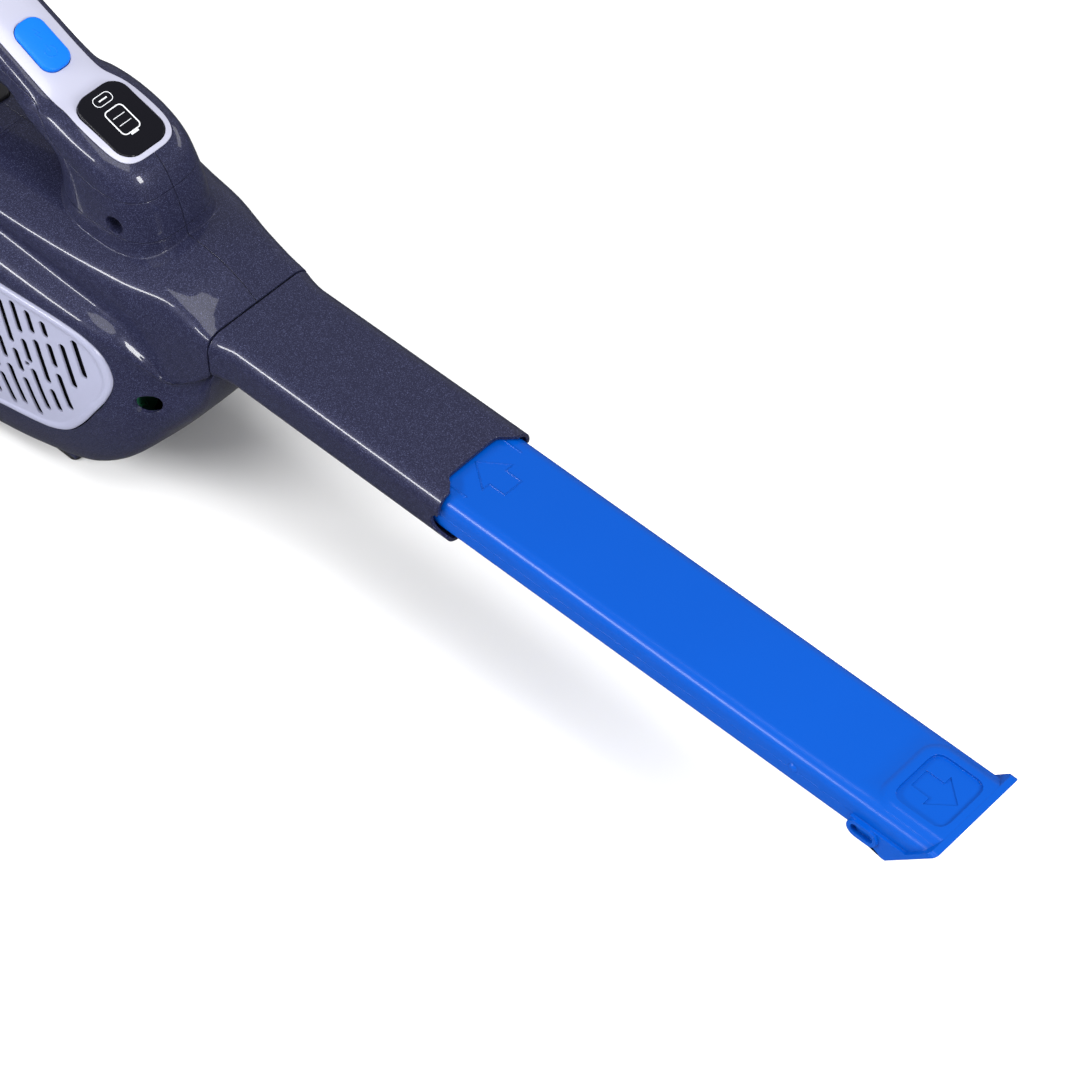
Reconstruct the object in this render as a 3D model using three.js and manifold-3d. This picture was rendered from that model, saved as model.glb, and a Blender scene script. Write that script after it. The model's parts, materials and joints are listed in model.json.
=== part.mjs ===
// Cordless handheld vacuum: a straight duct with a sliding crevice tool, a motor pod under its
// front half, a clear dust bowl under its rear half and a loop handle on top.
// Millimetres, +X towards the tool's tip, +Y left, +Z up. The design frame has x = 0 at the seam
// between nozzle and housing and z = 0 on the duct's axis; the group at the end stands it on z = 0.
import * as THREE from 'three';
import { ParametricGeometry } from 'three/addons/geometries/ParametricGeometry.js';
import { mergeVertices } from 'three/addons/utils/BufferGeometryUtils.js';
import Module from 'manifold-3d';

const wasm = await Module();
wasm.setup();

// ---------------------------------------------------------------- driving dimensions
const GAP = 0.3; // clearance between neighbouring pieces
const FAR = 500; // reach of a cutting block
const FLOOR_Z = -110; // surface that the vacuum stands on
const TAIL_X = -272; // rearmost point of the handle
const WALL = 2.2; // housing wall
const HANDLE_WALL = 3;

const NOZZLE = { mouth: 115, lip: 119, halfWidth: 24, halfHeight: 11.5, radius: 7, wall: 1.5 };
const NOZZLE_FLARE = { length: 11, extra: 2.2 };
const SPIGOT = { rear: -14, halfWidth: 23, halfHeight: 10.75, radius: 6.2, wall: 0.9 };
const DUCT = { halfWidth: 23.8, halfHeight: 11.4, radius: 6.4, wall: 1.3 };
const NOTCH = { width: 29, depth: 5.5 };

const TOOL = { root: 92, tip: 340, slant: 20, halfWidth: 21.5, halfHeight: 9.25, radius: 4.6, wall: 1.6 };
const TOOL_TAPER = 0.8;
const FLANGE = { thick: 2.8, proud: 1.4, radius: 2 };
const PAD = { back: 309.5, front: 335, width: 29, rim: 1.4, rimHeight: 1.1 };
const CATCH = { x: 310, z: -3.7, length: 13, height: 8, reach: 2.4, wall: 1.6 };

const BULKHEAD_X = -128; // rear wall of the motor pod, where the bowl meets it
const CAVITY_FRONT_X = -6;
const SPINE = { rear: -269, cavityRear: -232, underside: 13.5 };
const HANDLE_SEAM_Z = 26.4; // the handle is screwed to the housing at this level

const MOTOR = { z: -52, radius: 20, front: -58, rear: -100, wall: 1.2 };
const MOUNT_X = [-64, -97.4];
const FAN = { radius: 36, front: -109, rear: -119, blades: 8 };
const FAN_HOUSING = { radius: 40, front: -103.5, rear: -124.5, wall: 1.5, inlet: 17 };
const SHAFT_RADIUS = 1.6;
const CELL = { radius: 9, length: 65 };
const CELL_REAR_X = -103.2;

const FLAP = { x: -131.2, z: 7, half: 21.8 };
const BOWL = { front: -128.6, rear: -246, wall: 2, top: 12.6 };
const DOOR = { thick: 3, hingeX: -250.6, hingeZ: 9.6, pinRadius: 1.2, knuckle: 2.5 };
const FILTER = { z: -52, front: -131.5, rear: -188, frontRadius: 31, rearRadius: 26, wall: 1.2 };

const BUTTON = { x: -108.9, z: 71.3, length: 23, width: 13, tilt: 25, proud: 1.7 };
const DISPLAY = { x: -67.5, z: 60.8, length: 31, width: 23, tilt: 18, radius: 7 };
const CONTACT = { x: -106.4, half: 5.6, halfWidth: 14 };
const FOOT = { x: -88, y: 32, length: 22, width: 9, pad: 2.5 };

// ---------------------------------------------------------------- colours
const COLOURS = {
  slate: { color: 0x3a3b4e, roughness: 0.28, metalness: 0.25 },
  lilac: { color: 0xb4b8d4, roughness: 0.4, metalness: 0.2 },
  blue: { color: 0x0062dc, roughness: 0.42, metalness: 0 },
  brightBlue: { color: 0x1c84f0, roughness: 0.4, metalness: 0 },
  glassBlack: { color: 0x08080c, roughness: 0.08, metalness: 0 },
  black: { color: 0x18181c, roughness: 0.6, metalness: 0 },
  rubber: { color: 0x1d1d20, roughness: 0.85, metalness: 0 },
  smoke: { color: 0xaab2c4, roughness: 0.1, metalness: 0 },
  steel: { color: 0x9a9ca2, roughness: 0.3, metalness: 1 },
  brass: { color: 0xc8a24a, roughness: 0.3, metalness: 1 },
  copper: { color: 0xb0643a, roughness: 0.4, metalness: 0.8 },
  green: { color: 0x1c5a3a, roughness: 0.5, metalness: 0 },
  cellWrap: { color: 0x3c8f6a, roughness: 0.45, metalness: 0 },
  paper: { color: 0xe8e8e2, roughness: 0.95, metalness: 0 },
  red: { color: 0xb02020, roughness: 0.5, metalness: 0 },
};

// ---------------------------------------------------------------- solids
// Six times the volume inside the triangles; negative when they face inwards.
function signedVolume(points, corners) {
  const at = (i) => new THREE.Vector3().fromArray(points, 3 * i);
  let sum = 0;
  for (let i = 0; i < corners.length; i += 3) {
    sum += at(corners[i]).dot(at(corners[i + 1]).cross(at(corners[i + 2])));
  }
  return sum;
}

function solid(geometry) {
  const bare = geometry.clone();
  bare.deleteAttribute('normal');
  bare.deleteAttribute('uv');
  const merged = mergeVertices(bare, 1e-4);
  const corners = merged.index.array;
  const kept = [];
  for (let i = 0; i < corners.length; i += 3) {
    const [a, b, c] = [corners[i], corners[i + 1], corners[i + 2]];
    if (a !== b && b !== c && c !== a) kept.push(a, b, c);
  }
  if (signedVolume(merged.attributes.position.array, kept) < 0) kept.reverse();
  return new wasm.Manifold(new wasm.Mesh({
    numProp: 3,
    vertProperties: Float32Array.from(merged.attributes.position.array),
    triVerts: Uint32Array.from(kept),
  }));
}

function joined(...solids) {
  return solids.reduce((sum, next) => sum.add(next));
}

// A block between two opposite corners.
function block(x0, x1, y0, y1, z0, z1) {
  const box = new THREE.BoxGeometry(Math.abs(x1 - x0), Math.abs(y1 - y0), Math.abs(z1 - z0));
  return solid(box.translate((x0 + x1) / 2, (y0 + y1) / 2, (z0 + z1) / 2));
}

// A round bar along X, Y or Z from one end to the other.
function bar(axis, radius, from, to, [a, b], sides = 16) {
  const cylinder = new THREE.CylinderGeometry(radius, radius, Math.abs(to - from), sides);
  const middle = (from + to) / 2;
  if (axis === 'x') return solid(cylinder.rotateZ(Math.PI / 2).translate(middle, a, b));
  if (axis === 'y') return solid(cylinder.translate(a, middle, b));
  return solid(cylinder.rotateX(Math.PI / 2).translate(a, b, middle));
}

function tubeAlong(axis, outer, inner, from, to, centre, sides = 24) {
  return bar(axis, outer, from, to, centre, sides).subtract(bar(axis, inner, from - 1, to + 1, centre, sides));
}

// An outline in the XZ plane, pushed out along Y.
function sideProfile(points, y0, y1) {
  const shape = new THREE.Shape(points.map(([x, z]) => new THREE.Vector2(x, z)));
  const plate = new THREE.ExtrudeGeometry(shape, { depth: y1 - y0, bevelEnabled: false });
  return solid(plate.rotateX(Math.PI / 2).translate(0, y1, 0));
}

// A rectangle with round corners, centred on (x, y).
function roundedRectangle(x, y, width, height, radius) {
  const [w, h] = [width / 2, height / 2];
  const shape = new THREE.Shape();
  shape.moveTo(x - w + radius, y - h);
  shape.lineTo(x + w - radius, y - h);
  shape.absarc(x + w - radius, y - h + radius, radius, -Math.PI / 2, 0);
  shape.lineTo(x + w, y + h - radius);
  shape.absarc(x + w - radius, y + h - radius, radius, 0, Math.PI / 2);
  shape.lineTo(x - w + radius, y + h);
  shape.absarc(x - w + radius, y + h - radius, radius, Math.PI / 2, Math.PI);
  shape.lineTo(x - w, y - h + radius);
  shape.absarc(x - w + radius, y - h + radius, radius, Math.PI, 1.5 * Math.PI);
  return shape;
}

// A plate with round corners on a sloping face: its middle at (x, 0, z), its normal leaning
// forward from +Z by the tilt, reaching from depth `low` to `high` along that normal.
function slopingPlate({ x, z, tilt }, length, width, radius, low, high, steps = 3) {
  const shape = roundedRectangle(0, 0, length, width, radius);
  const plate = new THREE.ExtrudeGeometry(shape, { depth: high - low, bevelEnabled: false, curveSegments: steps });
  plate.translate(0, 0, low).rotateY(THREE.MathUtils.degToRad(tilt));
  return solid(plate.translate(x, 0, z));
}

// A closed skin over rings of points; each ring has the same number of points.
function loft(rings) {
  const around = rings[0].length;
  const middleOf = (ring) => {
    const middle = ring.reduce((sum, p) => sum.add(p), new THREE.Vector3()).divideScalar(around);
    return ring.map(() => middle);
  };
  const rows = [middleOf(rings[0]), ...rings, middleOf(rings.at(-1))];
  const last = rows.length - 1;
  const place = (u, v, target) => target.copy(rows[Math.round(v * last)][Math.round(u * around) % around]);
  return solid(new ParametricGeometry(place, around, last));
}

// A ring in the plane of constant x from half an outline that runs from the top middle, over
// the left side, to the bottom middle.
function mirroredRing(x, half) {
  const left = half.map((p) => new THREE.Vector3(x, p.x, p.y));
  const right = half.slice(1, -1).map((p) => new THREE.Vector3(x, -p.x, p.y)).reverse();
  return [...left, ...right];
}

// A smooth value along X through hand-set [x, value] knots, x falling; it never overshoots.
function rail(...knots) {
  const slope = (i) => (knots[i + 1][1] - knots[i][1]) / (knots[i + 1][0] - knots[i][0]);
  const tangent = (i) => {
    if (i === 0) return slope(0);
    if (i === knots.length - 1) return slope(i - 1);
    const [a, b] = [slope(i - 1), slope(i)];
    return a * b <= 0 ? 0 : (2 * a * b) / (a + b);
  };
  return (x) => {
    if (x >= knots[0][0]) return knots[0][1];
    if (x <= knots.at(-1)[0]) return knots.at(-1)[1];
    const i = knots.findIndex((knot, k) => x <= knot[0] && x >= knots[k + 1][0]);
    const span = knots[i + 1][0] - knots[i][0];
    const t = (x - knots[i][0]) / span;
    const [t2, t3] = [t * t, t * t * t];
    return (2 * t3 - 3 * t2 + 1) * knots[i][1] + (t3 - 2 * t2 + t) * span * tangent(i)
      + (3 * t2 - 2 * t3) * knots[i + 1][1] + (t3 - t2) * span * tangent(i + 1);
  };
}

// ---------------------------------------------------------------- the housing's outline along X
const CROWN_Z = rail([0, 11.5], [-9, 17], [-20, 20.8], [-34, 22.3], [-128, 22.3], [-235, 20], [-269, 17]);
const SHOULDER_Y = rail([0, 21.4], [-18, 25], [-47, 30], [-104, 34], [-160, 33], [-269, 24]);
const SHOULDER_Z = rail([0, 11.3], [-18, 15], [-47, 17], [-104, 16.6], [-269, 15]);
const CREASE_Y = rail([0, 26.2], [-22, 29], [-40, 33], [-70, 36], [-105, 37.5], [-128, 38], [-269, 28]);
const CREASE_Z = rail([0, -7], [-10, -16], [-22, -23], [-30, -13], [-42, -3], [-70, 3], [-105, 7], [-128, 8]);
const FLANK_SHARE = rail([0, 0.2], [-30, 0.42], [-269, 0.42]);
const POD_Y = rail([0, 26.2], [-10, 27.4], [-22, 30.8], [-30, 36.8], [-38, 41.8], [-50, 45.6], [-70, 48.8],
  [-105, 51.9], [-140, 54.8], [-190, 55], [-246, 50]);
const KEEL_Z = rail([0, -11.5], [-4, -25], [-10, -39], [-20, -54], [-30, -68], [-45, -84], [-60, -93.6],
  [-80, -99.4], [-105, -104.3], [-128, -106], [-246, -106]);

const HALF_STEPS = 10;

// Half of the housing's section at x, moved inwards by `inset`.
function housingHalf(x, inset) {
  const crown = CROWN_Z(x) - inset;
  const shoulder = [SHOULDER_Y(x) - 0.5 * inset, SHOULDER_Z(x) - inset];
  const crease = [CREASE_Y(x) - inset, CREASE_Z(x)];
  const podY = POD_Y(x) - inset;
  const keel = KEEL_Z(x) + inset;
  const drop = CREASE_Z(x) - KEEL_Z(x);
  const corner = Math.min(14, 0.3 * drop);
  const flank = FLANK_SHARE(x) * (crease[1] - shoulder[1]);
  const outline = [
    [0, crown],
    [0.6 * shoulder[0], crown - 0.3 * (crown - shoulder[1])],
    shoulder,
    [0.25 * shoulder[0] + 0.75 * crease[0] + 0.6, shoulder[1] + flank],
    crease,
    [crease[0] + 0.66 * (podY - crease[0]), crease[1] - 0.06 * drop],
    [podY - 2.4, crease[1] - 0.18 * drop],
    [podY, keel + 0.4 * drop],
    [podY - 0.35 * corner, keel + 0.4 * corner],
    [podY - 1.3 * corner, keel + 0.3],
    [0, keel],
  ];
  const curve = new THREE.SplineCurve(outline.map(([y, z]) => new THREE.Vector2(y, z)));
  return curve.getSpacedPoints(HALF_STEPS);
}

function stations(from, to, count) {
  return Array.from({ length: count + 1 }, (_, i) => from + ((to - from) * i) / count);
}

const HOUSING_STATIONS = [-GAP, -5, -11, -17, -22, -28, -36, -48, -64, -90, BULKHEAD_X];
const CAVITY_STATIONS = [CAVITY_FRONT_X, -13, -22, -30, -42, -64, BULKHEAD_X + WALL];

function housingLoft(xs, inset) {
  return loft(xs.map((x) => mirroredRing(x, housingHalf(x, inset))));
}

// The deck behind the pod: the housing's section above the dust bowl.
function spineLoft(from, to, inset) {
  const above = block(-FAR, FAR, -FAR, FAR, SPINE.underside + inset, FAR);
  return housingLoft([from, -165, -206, to], inset).intersect(above);
}

// ---------------------------------------------------------------- the handle's outline
// Matching points on the outer and the inner edge of the loop, from the front foot over the
// grip to the rear foot, with the half width between them.
const HANDLE_RIBS = [
  { outer: [-35.5, 15], inner: [-94, 15], half: 22.5 },
  { outer: [-36.7, 26], inner: [-93.4, 27], half: 22 },
  { outer: [-39, 36], inner: [-93.2, 34], half: 21.6 },
  { outer: [-42, 44], inner: [-94.5, 40], half: 21.3 },
  { outer: [-46.5, 52], inner: [-98, 45], half: 21 },
  { outer: [-55, 57.6], inner: [-103.5, 48.2], half: 20.8 },
  { outer: [-67, 61.2], inner: [-109, 50.5], half: 20.2 },
  { outer: [-79, 63.6], inner: [-114, 52.2], half: 18.6 },
  { outer: [-90, 63.4], inner: [-119, 54], half: 16.8 },
  { outer: [-101, 67.4], inner: [-124, 55.6], half: 16.3 },
  { outer: [-117, 75], inner: [-132, 58], half: 16.2 },
  { outer: [-140, 85.4], inner: [-147, 62.2], half: 16.2 },
  { outer: [-166, 94], inner: [-166, 67.6], half: 16.3 },
  { outer: [-196, 98], inner: [-188, 71], half: 16.6 },
  { outer: [-224, 95.4], inner: [-209, 70.6], half: 17 },
  { outer: [-248, 84], inner: [-225, 64], half: 17.5 },
  { outer: [-264, 66], inner: [-235, 53], half: 18.2 },
  { outer: [-271, 44], inner: [-239, 41], half: 19 },
  { outer: [TAIL_X, 27], inner: [-240, 28], half: 20 },
  { outer: [-270, 15], inner: [-240, 15], half: 20.5 },
];
const HANDLE_AROUND = 12;

// One ring of the handle: squarer on the outer side than on the inner one.
function handleRing({ outer, inner, half }, inset) {
  const [dx, dz] = [outer[0] - inner[0], outer[1] - inner[1]];
  const thickness = Math.hypot(dx, dz);
  const reach = thickness / 2 - inset;
  const [ux, uz] = [dx / thickness, dz / thickness];
  const [mx, mz] = [(outer[0] + inner[0]) / 2, (outer[1] + inner[1]) / 2];
  return Array.from({ length: HANDLE_AROUND }, (_, i) => {
    const angle = (2 * Math.PI * i) / HANDLE_AROUND;
    const [s, c] = [Math.sin(angle), Math.cos(angle)];
    const power = s > 0 ? 0.62 : 0.86;
    const along = Math.sign(s) * Math.abs(s) ** power * reach;
    const across = Math.sign(c) * Math.abs(c) ** power * (half - inset);
    return new THREE.Vector3(mx + ux * along, -across, mz + uz * along);
  });
}

function handleLoft(inset) {
  const ribs = inset === HANDLE_WALL ? stretchedEnds(HANDLE_RIBS) : HANDLE_RIBS;
  return loft(ribs.map((rib) => handleRing(rib, inset)));
}

// The hollow follows every other rib and runs past both feet, so that it opens into the housing.
function stretchedEnds(ribs) {
  const lowered = (rib) => ({ ...rib, outer: [rib.outer[0], 6], inner: [rib.inner[0], 6] });
  const every = ribs.filter((rib, i) => i % 2 === 0 || rib === ribs.at(-1));
  return [lowered(ribs[0]), ...every, lowered(ribs.at(-1))];
}

// The parting line between the handle's base and its top shell, front to rear.
const HANDLE_SPLIT = [[-20, 42.6], [-42, 43.2], [-64, 45], [-79, 50], [-92, 59.4], [-115, 66.6], [-148, 77.6],
  [-184, 84.6], [-216, 82.6], [-240, 72], [-300, 40]];

function aboveSplit(lift) {
  const line = HANDLE_SPLIT.map(([x, z]) => [x, z + lift]);
  return sideProfile([...line, [-300, 140], [-20, 140]], -60, 60);
}

const handleShell = handleLoft(0).subtract(handleLoft(HANDLE_WALL));
const rightSide = block(-FAR, FAR, -FAR, -GAP / 2, -FAR, FAR);
const leftSide = block(-FAR, FAR, GAP / 2, FAR, -FAR, FAR);

// ---------------------------------------------------------------- screws and their bosses
const SCREWS = [
  { name: 'screw_column', x: -52.6, z: 31.4, headY: -16, tipY: 8, web: [18, 0] },
  { name: 'screw_pod_front', x: -28.2, z: -38.5, headY: -27, tipY: 8, web: [22, 0] },
  { name: 'screw_pod_rear', x: -119.5, z: -98.4, headY: -26, tipY: 6, web: [0, -9] },
  { name: 'screw_grip', x: -176, z: 77, headY: -9.5, tipY: 8, web: [0, -10] },
  { name: 'screw_rear_column', x: -254.5, z: 44, headY: -12.5, tipY: 8, web: [-18, 0] },
];
const SCREW = { headRadius: 3.1, headLength: 2.4, shank: 1.5, boss: 4, well: 3.7 };

function screw({ x, z, headY, tipY }) {
  const head = bar('y', SCREW.headRadius, headY, headY + SCREW.headLength, [x, z], 12);
  const shank = bar('y', SCREW.shank, headY + 1, tipY, [x, z], 8);
  const slot = block(x - 2.2, x + 2.2, headY - 1, headY + 1, z - 0.4, z + 0.4);
  return head.add(shank).subtract(slot);
}

// The posts that carry a screw, kept inside the envelope, with its well and its hole; a web
// ties the left one to the wall.
function withScrewPost(shell, envelope, { x, z, headY, tipY, web }, inRight) {
  const seat = headY + SCREW.headLength + GAP;
  if (inRight) {
    const post = bar('y', SCREW.well + 1.2, -60, -GAP / 2, [x, z], 12).intersect(envelope);
    const well = bar('y', SCREW.well, -60, seat, [x, z], 12);
    return shell.add(post).subtract(well).subtract(bar('y', SCREW.shank + GAP, -60, 5, [x, z], 8));
  }
  const [x1, z1] = [x + web[0], z + web[1]];
  const tie = block(Math.min(x, x1) - 1, Math.max(x, x1) + 1, GAP / 2, tipY, Math.min(z, z1) - 1, Math.max(z, z1) + 1);
  const post = bar('y', SCREW.boss, GAP / 2, tipY + 3, [x, z], 12).add(tie).intersect(envelope);
  return shell.add(post).subtract(bar('y', SCREW.shank + GAP, -1, tipY + 0.6, [x, z], 8));
}

function withScrewPosts(shell, envelope, screws, inRight) {
  return screws.reduce((body, at) => withScrewPost(body, envelope, at, inRight), shell);
}

// ---------------------------------------------------------------- the duct line
const CORNER_STEPS = 3;

// A rectangle across X with round corners, four points to a corner.
function ringOfRectangle(x, halfWidth, halfHeight, radius) {
  const corners = [[1, 1], [-1, 1], [-1, -1], [1, -1]];
  return corners.flatMap(([sy, sz], k) => stations(0, Math.PI / 2, CORNER_STEPS).map((turn) => {
    const angle = turn + (k * Math.PI) / 2;
    const y = sy * (halfWidth - radius) + radius * Math.cos(angle);
    return new THREE.Vector3(x, y, sz * (halfHeight - radius) + radius * Math.sin(angle));
  }));
}

function rectangleTube(sections) {
  return loft(sections.map(([x, w, h, r]) => ringOfRectangle(x, w, h, r)));
}

function nozzle() {
  const { lip, halfWidth, halfHeight, radius, wall } = NOZZLE;
  const flare = (t) => halfWidth + NOZZLE_FLARE.extra * t;
  const outer = rectangleTube([
    [0, flare(1), halfHeight, radius],
    [NOZZLE_FLARE.length * 0.4, flare(0.45), halfHeight, radius],
    [NOZZLE_FLARE.length, flare(0), halfHeight, radius],
    [lip, halfWidth, halfHeight, radius],
  ].reverse());
  const spigot = rectangleTube([
    [1, SPIGOT.halfWidth, SPIGOT.halfHeight, SPIGOT.radius],
    [SPIGOT.rear, SPIGOT.halfWidth, SPIGOT.halfHeight, SPIGOT.radius],
  ]);
  const bore = rectangleTube([
    [lip + 1, halfWidth - wall, halfHeight - wall, radius - wall],
    [0, halfWidth - wall, halfHeight - wall, radius - wall],
    [-1, SPIGOT.halfWidth - SPIGOT.wall, SPIGOT.halfHeight - SPIGOT.wall, SPIGOT.radius - SPIGOT.wall],
    [SPIGOT.rear - 1, SPIGOT.halfWidth - SPIGOT.wall, SPIGOT.halfHeight - SPIGOT.wall, SPIGOT.radius - SPIGOT.wall],
  ]);
  return outer.add(spigot).subtract(bore).subtract(mouthCut()).subtract(topNotch());
}

// The mouth's side view: the upper edge stops short, a notch bites the side, the lip runs on.
function mouthCut() {
  const { mouth, lip } = NOZZLE;
  return sideProfile([[mouth, 20], [mouth, 5], [mouth - 3, 1], [mouth - 3.5, -3], [lip - 1, -7.5],
    [lip, -9], [lip, -20], [lip + 9, -20], [lip + 9, 20]].reverse(), -40, 40);
}

function topNotch() {
  const { mouth } = NOZZLE;
  const shape = roundedRectangle(mouth + 4.5, 0, 9 + 2 * NOTCH.depth, NOTCH.width, NOTCH.depth);
  return solid(new THREE.ExtrudeGeometry(shape, { depth: 12, bevelEnabled: false, curveSegments: 4 }).translate(0, 0, 3));
}

function ductLiner() {
  const { halfWidth, halfHeight, radius, wall } = DUCT;
  const [front, rear] = [SPIGOT.rear - GAP, BULKHEAD_X + 0.4];
  const outer = rectangleTube([[front, halfWidth, halfHeight, radius], [rear, halfWidth, halfHeight, radius]]);
  const bore = rectangleTube([[front + 1, halfWidth - wall, halfHeight - wall, radius - wall],
    [rear - 1, halfWidth - wall, halfHeight - wall, radius - wall]]);
  const ears = [1, -1].map((side) => block(rear + 2, FLAP.x - 1.6, side * 22.1, side * 23, FLAP.z - 2, FLAP.z + 1));
  const pinHole = bar('y', 0.9, -40, 40, [FLAP.x, FLAP.z], 8);
  return joined(outer, ...ears).subtract(bore).subtract(pinHole);
}

// ---------------------------------------------------------------- the crevice tool
function creviceTool() {
  const { root, tip, halfWidth, halfHeight, radius, wall } = TOOL;
  const reach = tip + 6;
  const outer = rectangleTube([[reach, halfWidth - TOOL_TAPER, halfHeight, radius], [root, halfWidth, halfHeight, radius]]);
  const flange = rectangleTube([
    [reach, halfWidth - TOOL_TAPER + FLANGE.proud, halfHeight + FLANGE.proud, FLANGE.radius],
    [tip - 40, halfWidth - TOOL_TAPER + FLANGE.proud, halfHeight + FLANGE.proud, FLANGE.radius],
  ]).intersect(slantedSlice(FLANGE.thick));
  const bore = rectangleTube([
    [reach + 1, halfWidth - TOOL_TAPER - wall, halfHeight - wall, radius - wall],
    [root - 1, halfWidth - wall, halfHeight - wall, radius - wall],
  ]);
  const blank = joined(outer, flange, padRim(), sideFin(), sideCatch(1), sideCatch(-1), detent(1), detent(-1));
  return blank.subtract(bore).subtract(beyondTip());
}

// The tip's end runs back from its top edge to its bottom edge.
function tipLine(offset) {
  const { tip, slant } = TOOL;
  const top = TOOL.halfHeight + FLANGE.proud;
  const rate = slant / (2 * top);
  return [[tip - offset + 5 * rate, top + 5], [tip - offset - slant - 5 * rate, -top - 5]];
}

function beyondTip() {
  const [high, low] = tipLine(0);
  return sideProfile([high, low, [TOOL.tip + 60, low[1]], [TOOL.tip + 60, high[1]]], -60, 60);
}

function slantedSlice(thick) {
  const [high, low] = tipLine(thick);
  const [frontHigh, frontLow] = tipLine(-1);
  return sideProfile([high, low, frontLow, frontHigh], -60, 60);
}

function padRim() {
  const middle = (PAD.back + PAD.front) / 2;
  const length = PAD.front - PAD.back;
  const top = TOOL.halfHeight + PAD.rimHeight;
  const shape = roundedRectangle(middle, 0, length, PAD.width, 5);
  shape.holes.push(roundedRectangle(middle, 0, length - 2 * PAD.rim, PAD.width - 2 * PAD.rim, 4));
  const rim = new THREE.ExtrudeGeometry(shape, { depth: PAD.rimHeight + 0.6, bevelEnabled: false, curveSegments: 2 });
  return solid(rim.translate(0, 0, top - PAD.rimHeight - 0.6));
}

// The tool is a little wider along its lower half, from the side catches to the tip.
function sideFin() {
  const halfWidth = TOOL.halfWidth - TOOL_TAPER + FLANGE.proud;
  const low = -TOOL.halfHeight - FLANGE.proud;
  const [back, front] = [CATCH.x - 6, TOOL.tip - 4];
  const outline = [[back, 0.3], [back, -5], [back + 2, -7.8], [back + 10, -7.8], [back + 14.5, low], [front, low], [front, 0.3]];
  return sideProfile(outline, -halfWidth, halfWidth);
}

// An oval loop standing on the tool's side, which clips on the nozzle's mouth when stowed.
function sideCatch(side) {
  const { x, z, length, height, reach, wall } = CATCH;
  const inside = TOOL.halfWidth - TOOL_TAPER - 0.8;
  const shape = roundedRectangle(x, z, length, height, height / 2 - 0.1);
  shape.holes.push(roundedRectangle(x, z, length - 2 * wall, height - 2 * wall, height / 2 - wall - 0.1));
  const loop = new THREE.ExtrudeGeometry(shape, { depth: reach + 0.8, bevelEnabled: false, curveSegments: 3 });
  loop.rotateX(Math.PI / 2).translate(0, side > 0 ? inside + reach + 0.8 : -inside, 0);
  return solid(loop);
}

function detent(side) {
  const bump = new THREE.SphereGeometry(2, 8, 5).scale(1, 0.6, 1);
  return solid(bump.translate(278, side * (TOOL.halfWidth - TOOL_TAPER + 0.1), 1.5));
}

// ---------------------------------------------------------------- the housing
const GRILLE_OUTLINE = [[-112, -7.4], [-87, -7.4], [-64, -8.4], [-52, -11], [-44.4, -16], [-40.2, -23], [-39.4, -31],
  [-42.5, -40], [-54.5, -59.5], [-62, -68.6], [-71, -73.8], [-89, -77.6], [-108, -80.6], [-114, -79], [-117, -73],
  [-117, -14], [-115.4, -9.2]];
const GRILLE_PROUD = 1.3;

// The grille's outline grown about its middle by `margin`, pushed out along one side.
function grillePrism(side, margin) {
  const [cx, cz] = [-80, -42];
  const grown = GRILLE_OUTLINE.map(([x, z]) => {
    const distance = Math.hypot(x - cx, z - cz);
    const scale = (distance + margin) / distance;
    return [cx + (x - cx) * scale, cz + (z - cz) * scale];
  });
  return side > 0 ? sideProfile(grown, 26, 70) : sideProfile(grown, -70, -26);
}

const podOuter = housingLoft(HOUSING_STATIONS, 0);
const podCavity = housingLoft(CAVITY_STATIONS, WALL);

function housingBlank() {
  const spineOuter = spineLoft(-112, SPINE.rear, 0);
  const spineCavity = spineLoft(-108, SPINE.cavityRear, WALL);
  const belowSeam = block(-FAR, FAR, -FAR, FAR, -FAR, HANDLE_SEAM_Z - GAP / 2);
  const aboveDeck = block(-FAR, FAR, -FAR, FAR, 18, FAR);
  const pedestals = handleLoft(0).intersect(belowSeam).intersect(aboveDeck);
  const hollows = handleLoft(HANDLE_WALL).intersect(block(-FAR, FAR, -FAR, FAR, SPINE.underside + WALL + 1, FAR));
  const feet = joined(footPost(1), footPost(-1)).subtract(podCavity);
  const ribs = joined(...MOUNT_X.map((x) => block(x - 1.3, x + 1.3, -12, 12, -101, MOTOR.z - MOTOR.radius - 4)));
  const saddleRoom = bar('x', MOTOR.radius + 3 + GAP, -110, -50, [0, MOTOR.z], 24);
  return {
    envelope: joined(podOuter, spineOuter, pedestals),
    shell: joined(podOuter, spineOuter, pedestals).subtract(podCavity).subtract(spineCavity)
      .subtract(hollows).add(feet).add(ribs.intersect(podOuter).subtract(saddleRoom))
      .subtract(housingOpenings()),
  };
}

// A wedge under the pod that carries a rubber foot.
function footPost(side) {
  const { x, y, length, width, pad } = FOOT;
  const [top, base] = [-88, FLOOR_Z + pad];
  const outline = [[x - length / 2 - 2, top], [x - length / 2, base], [x + length / 2, base], [x + length / 2 + 3, top]];
  return sideProfile(outline, side * y - width / 2, side * y + width / 2);
}

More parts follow.
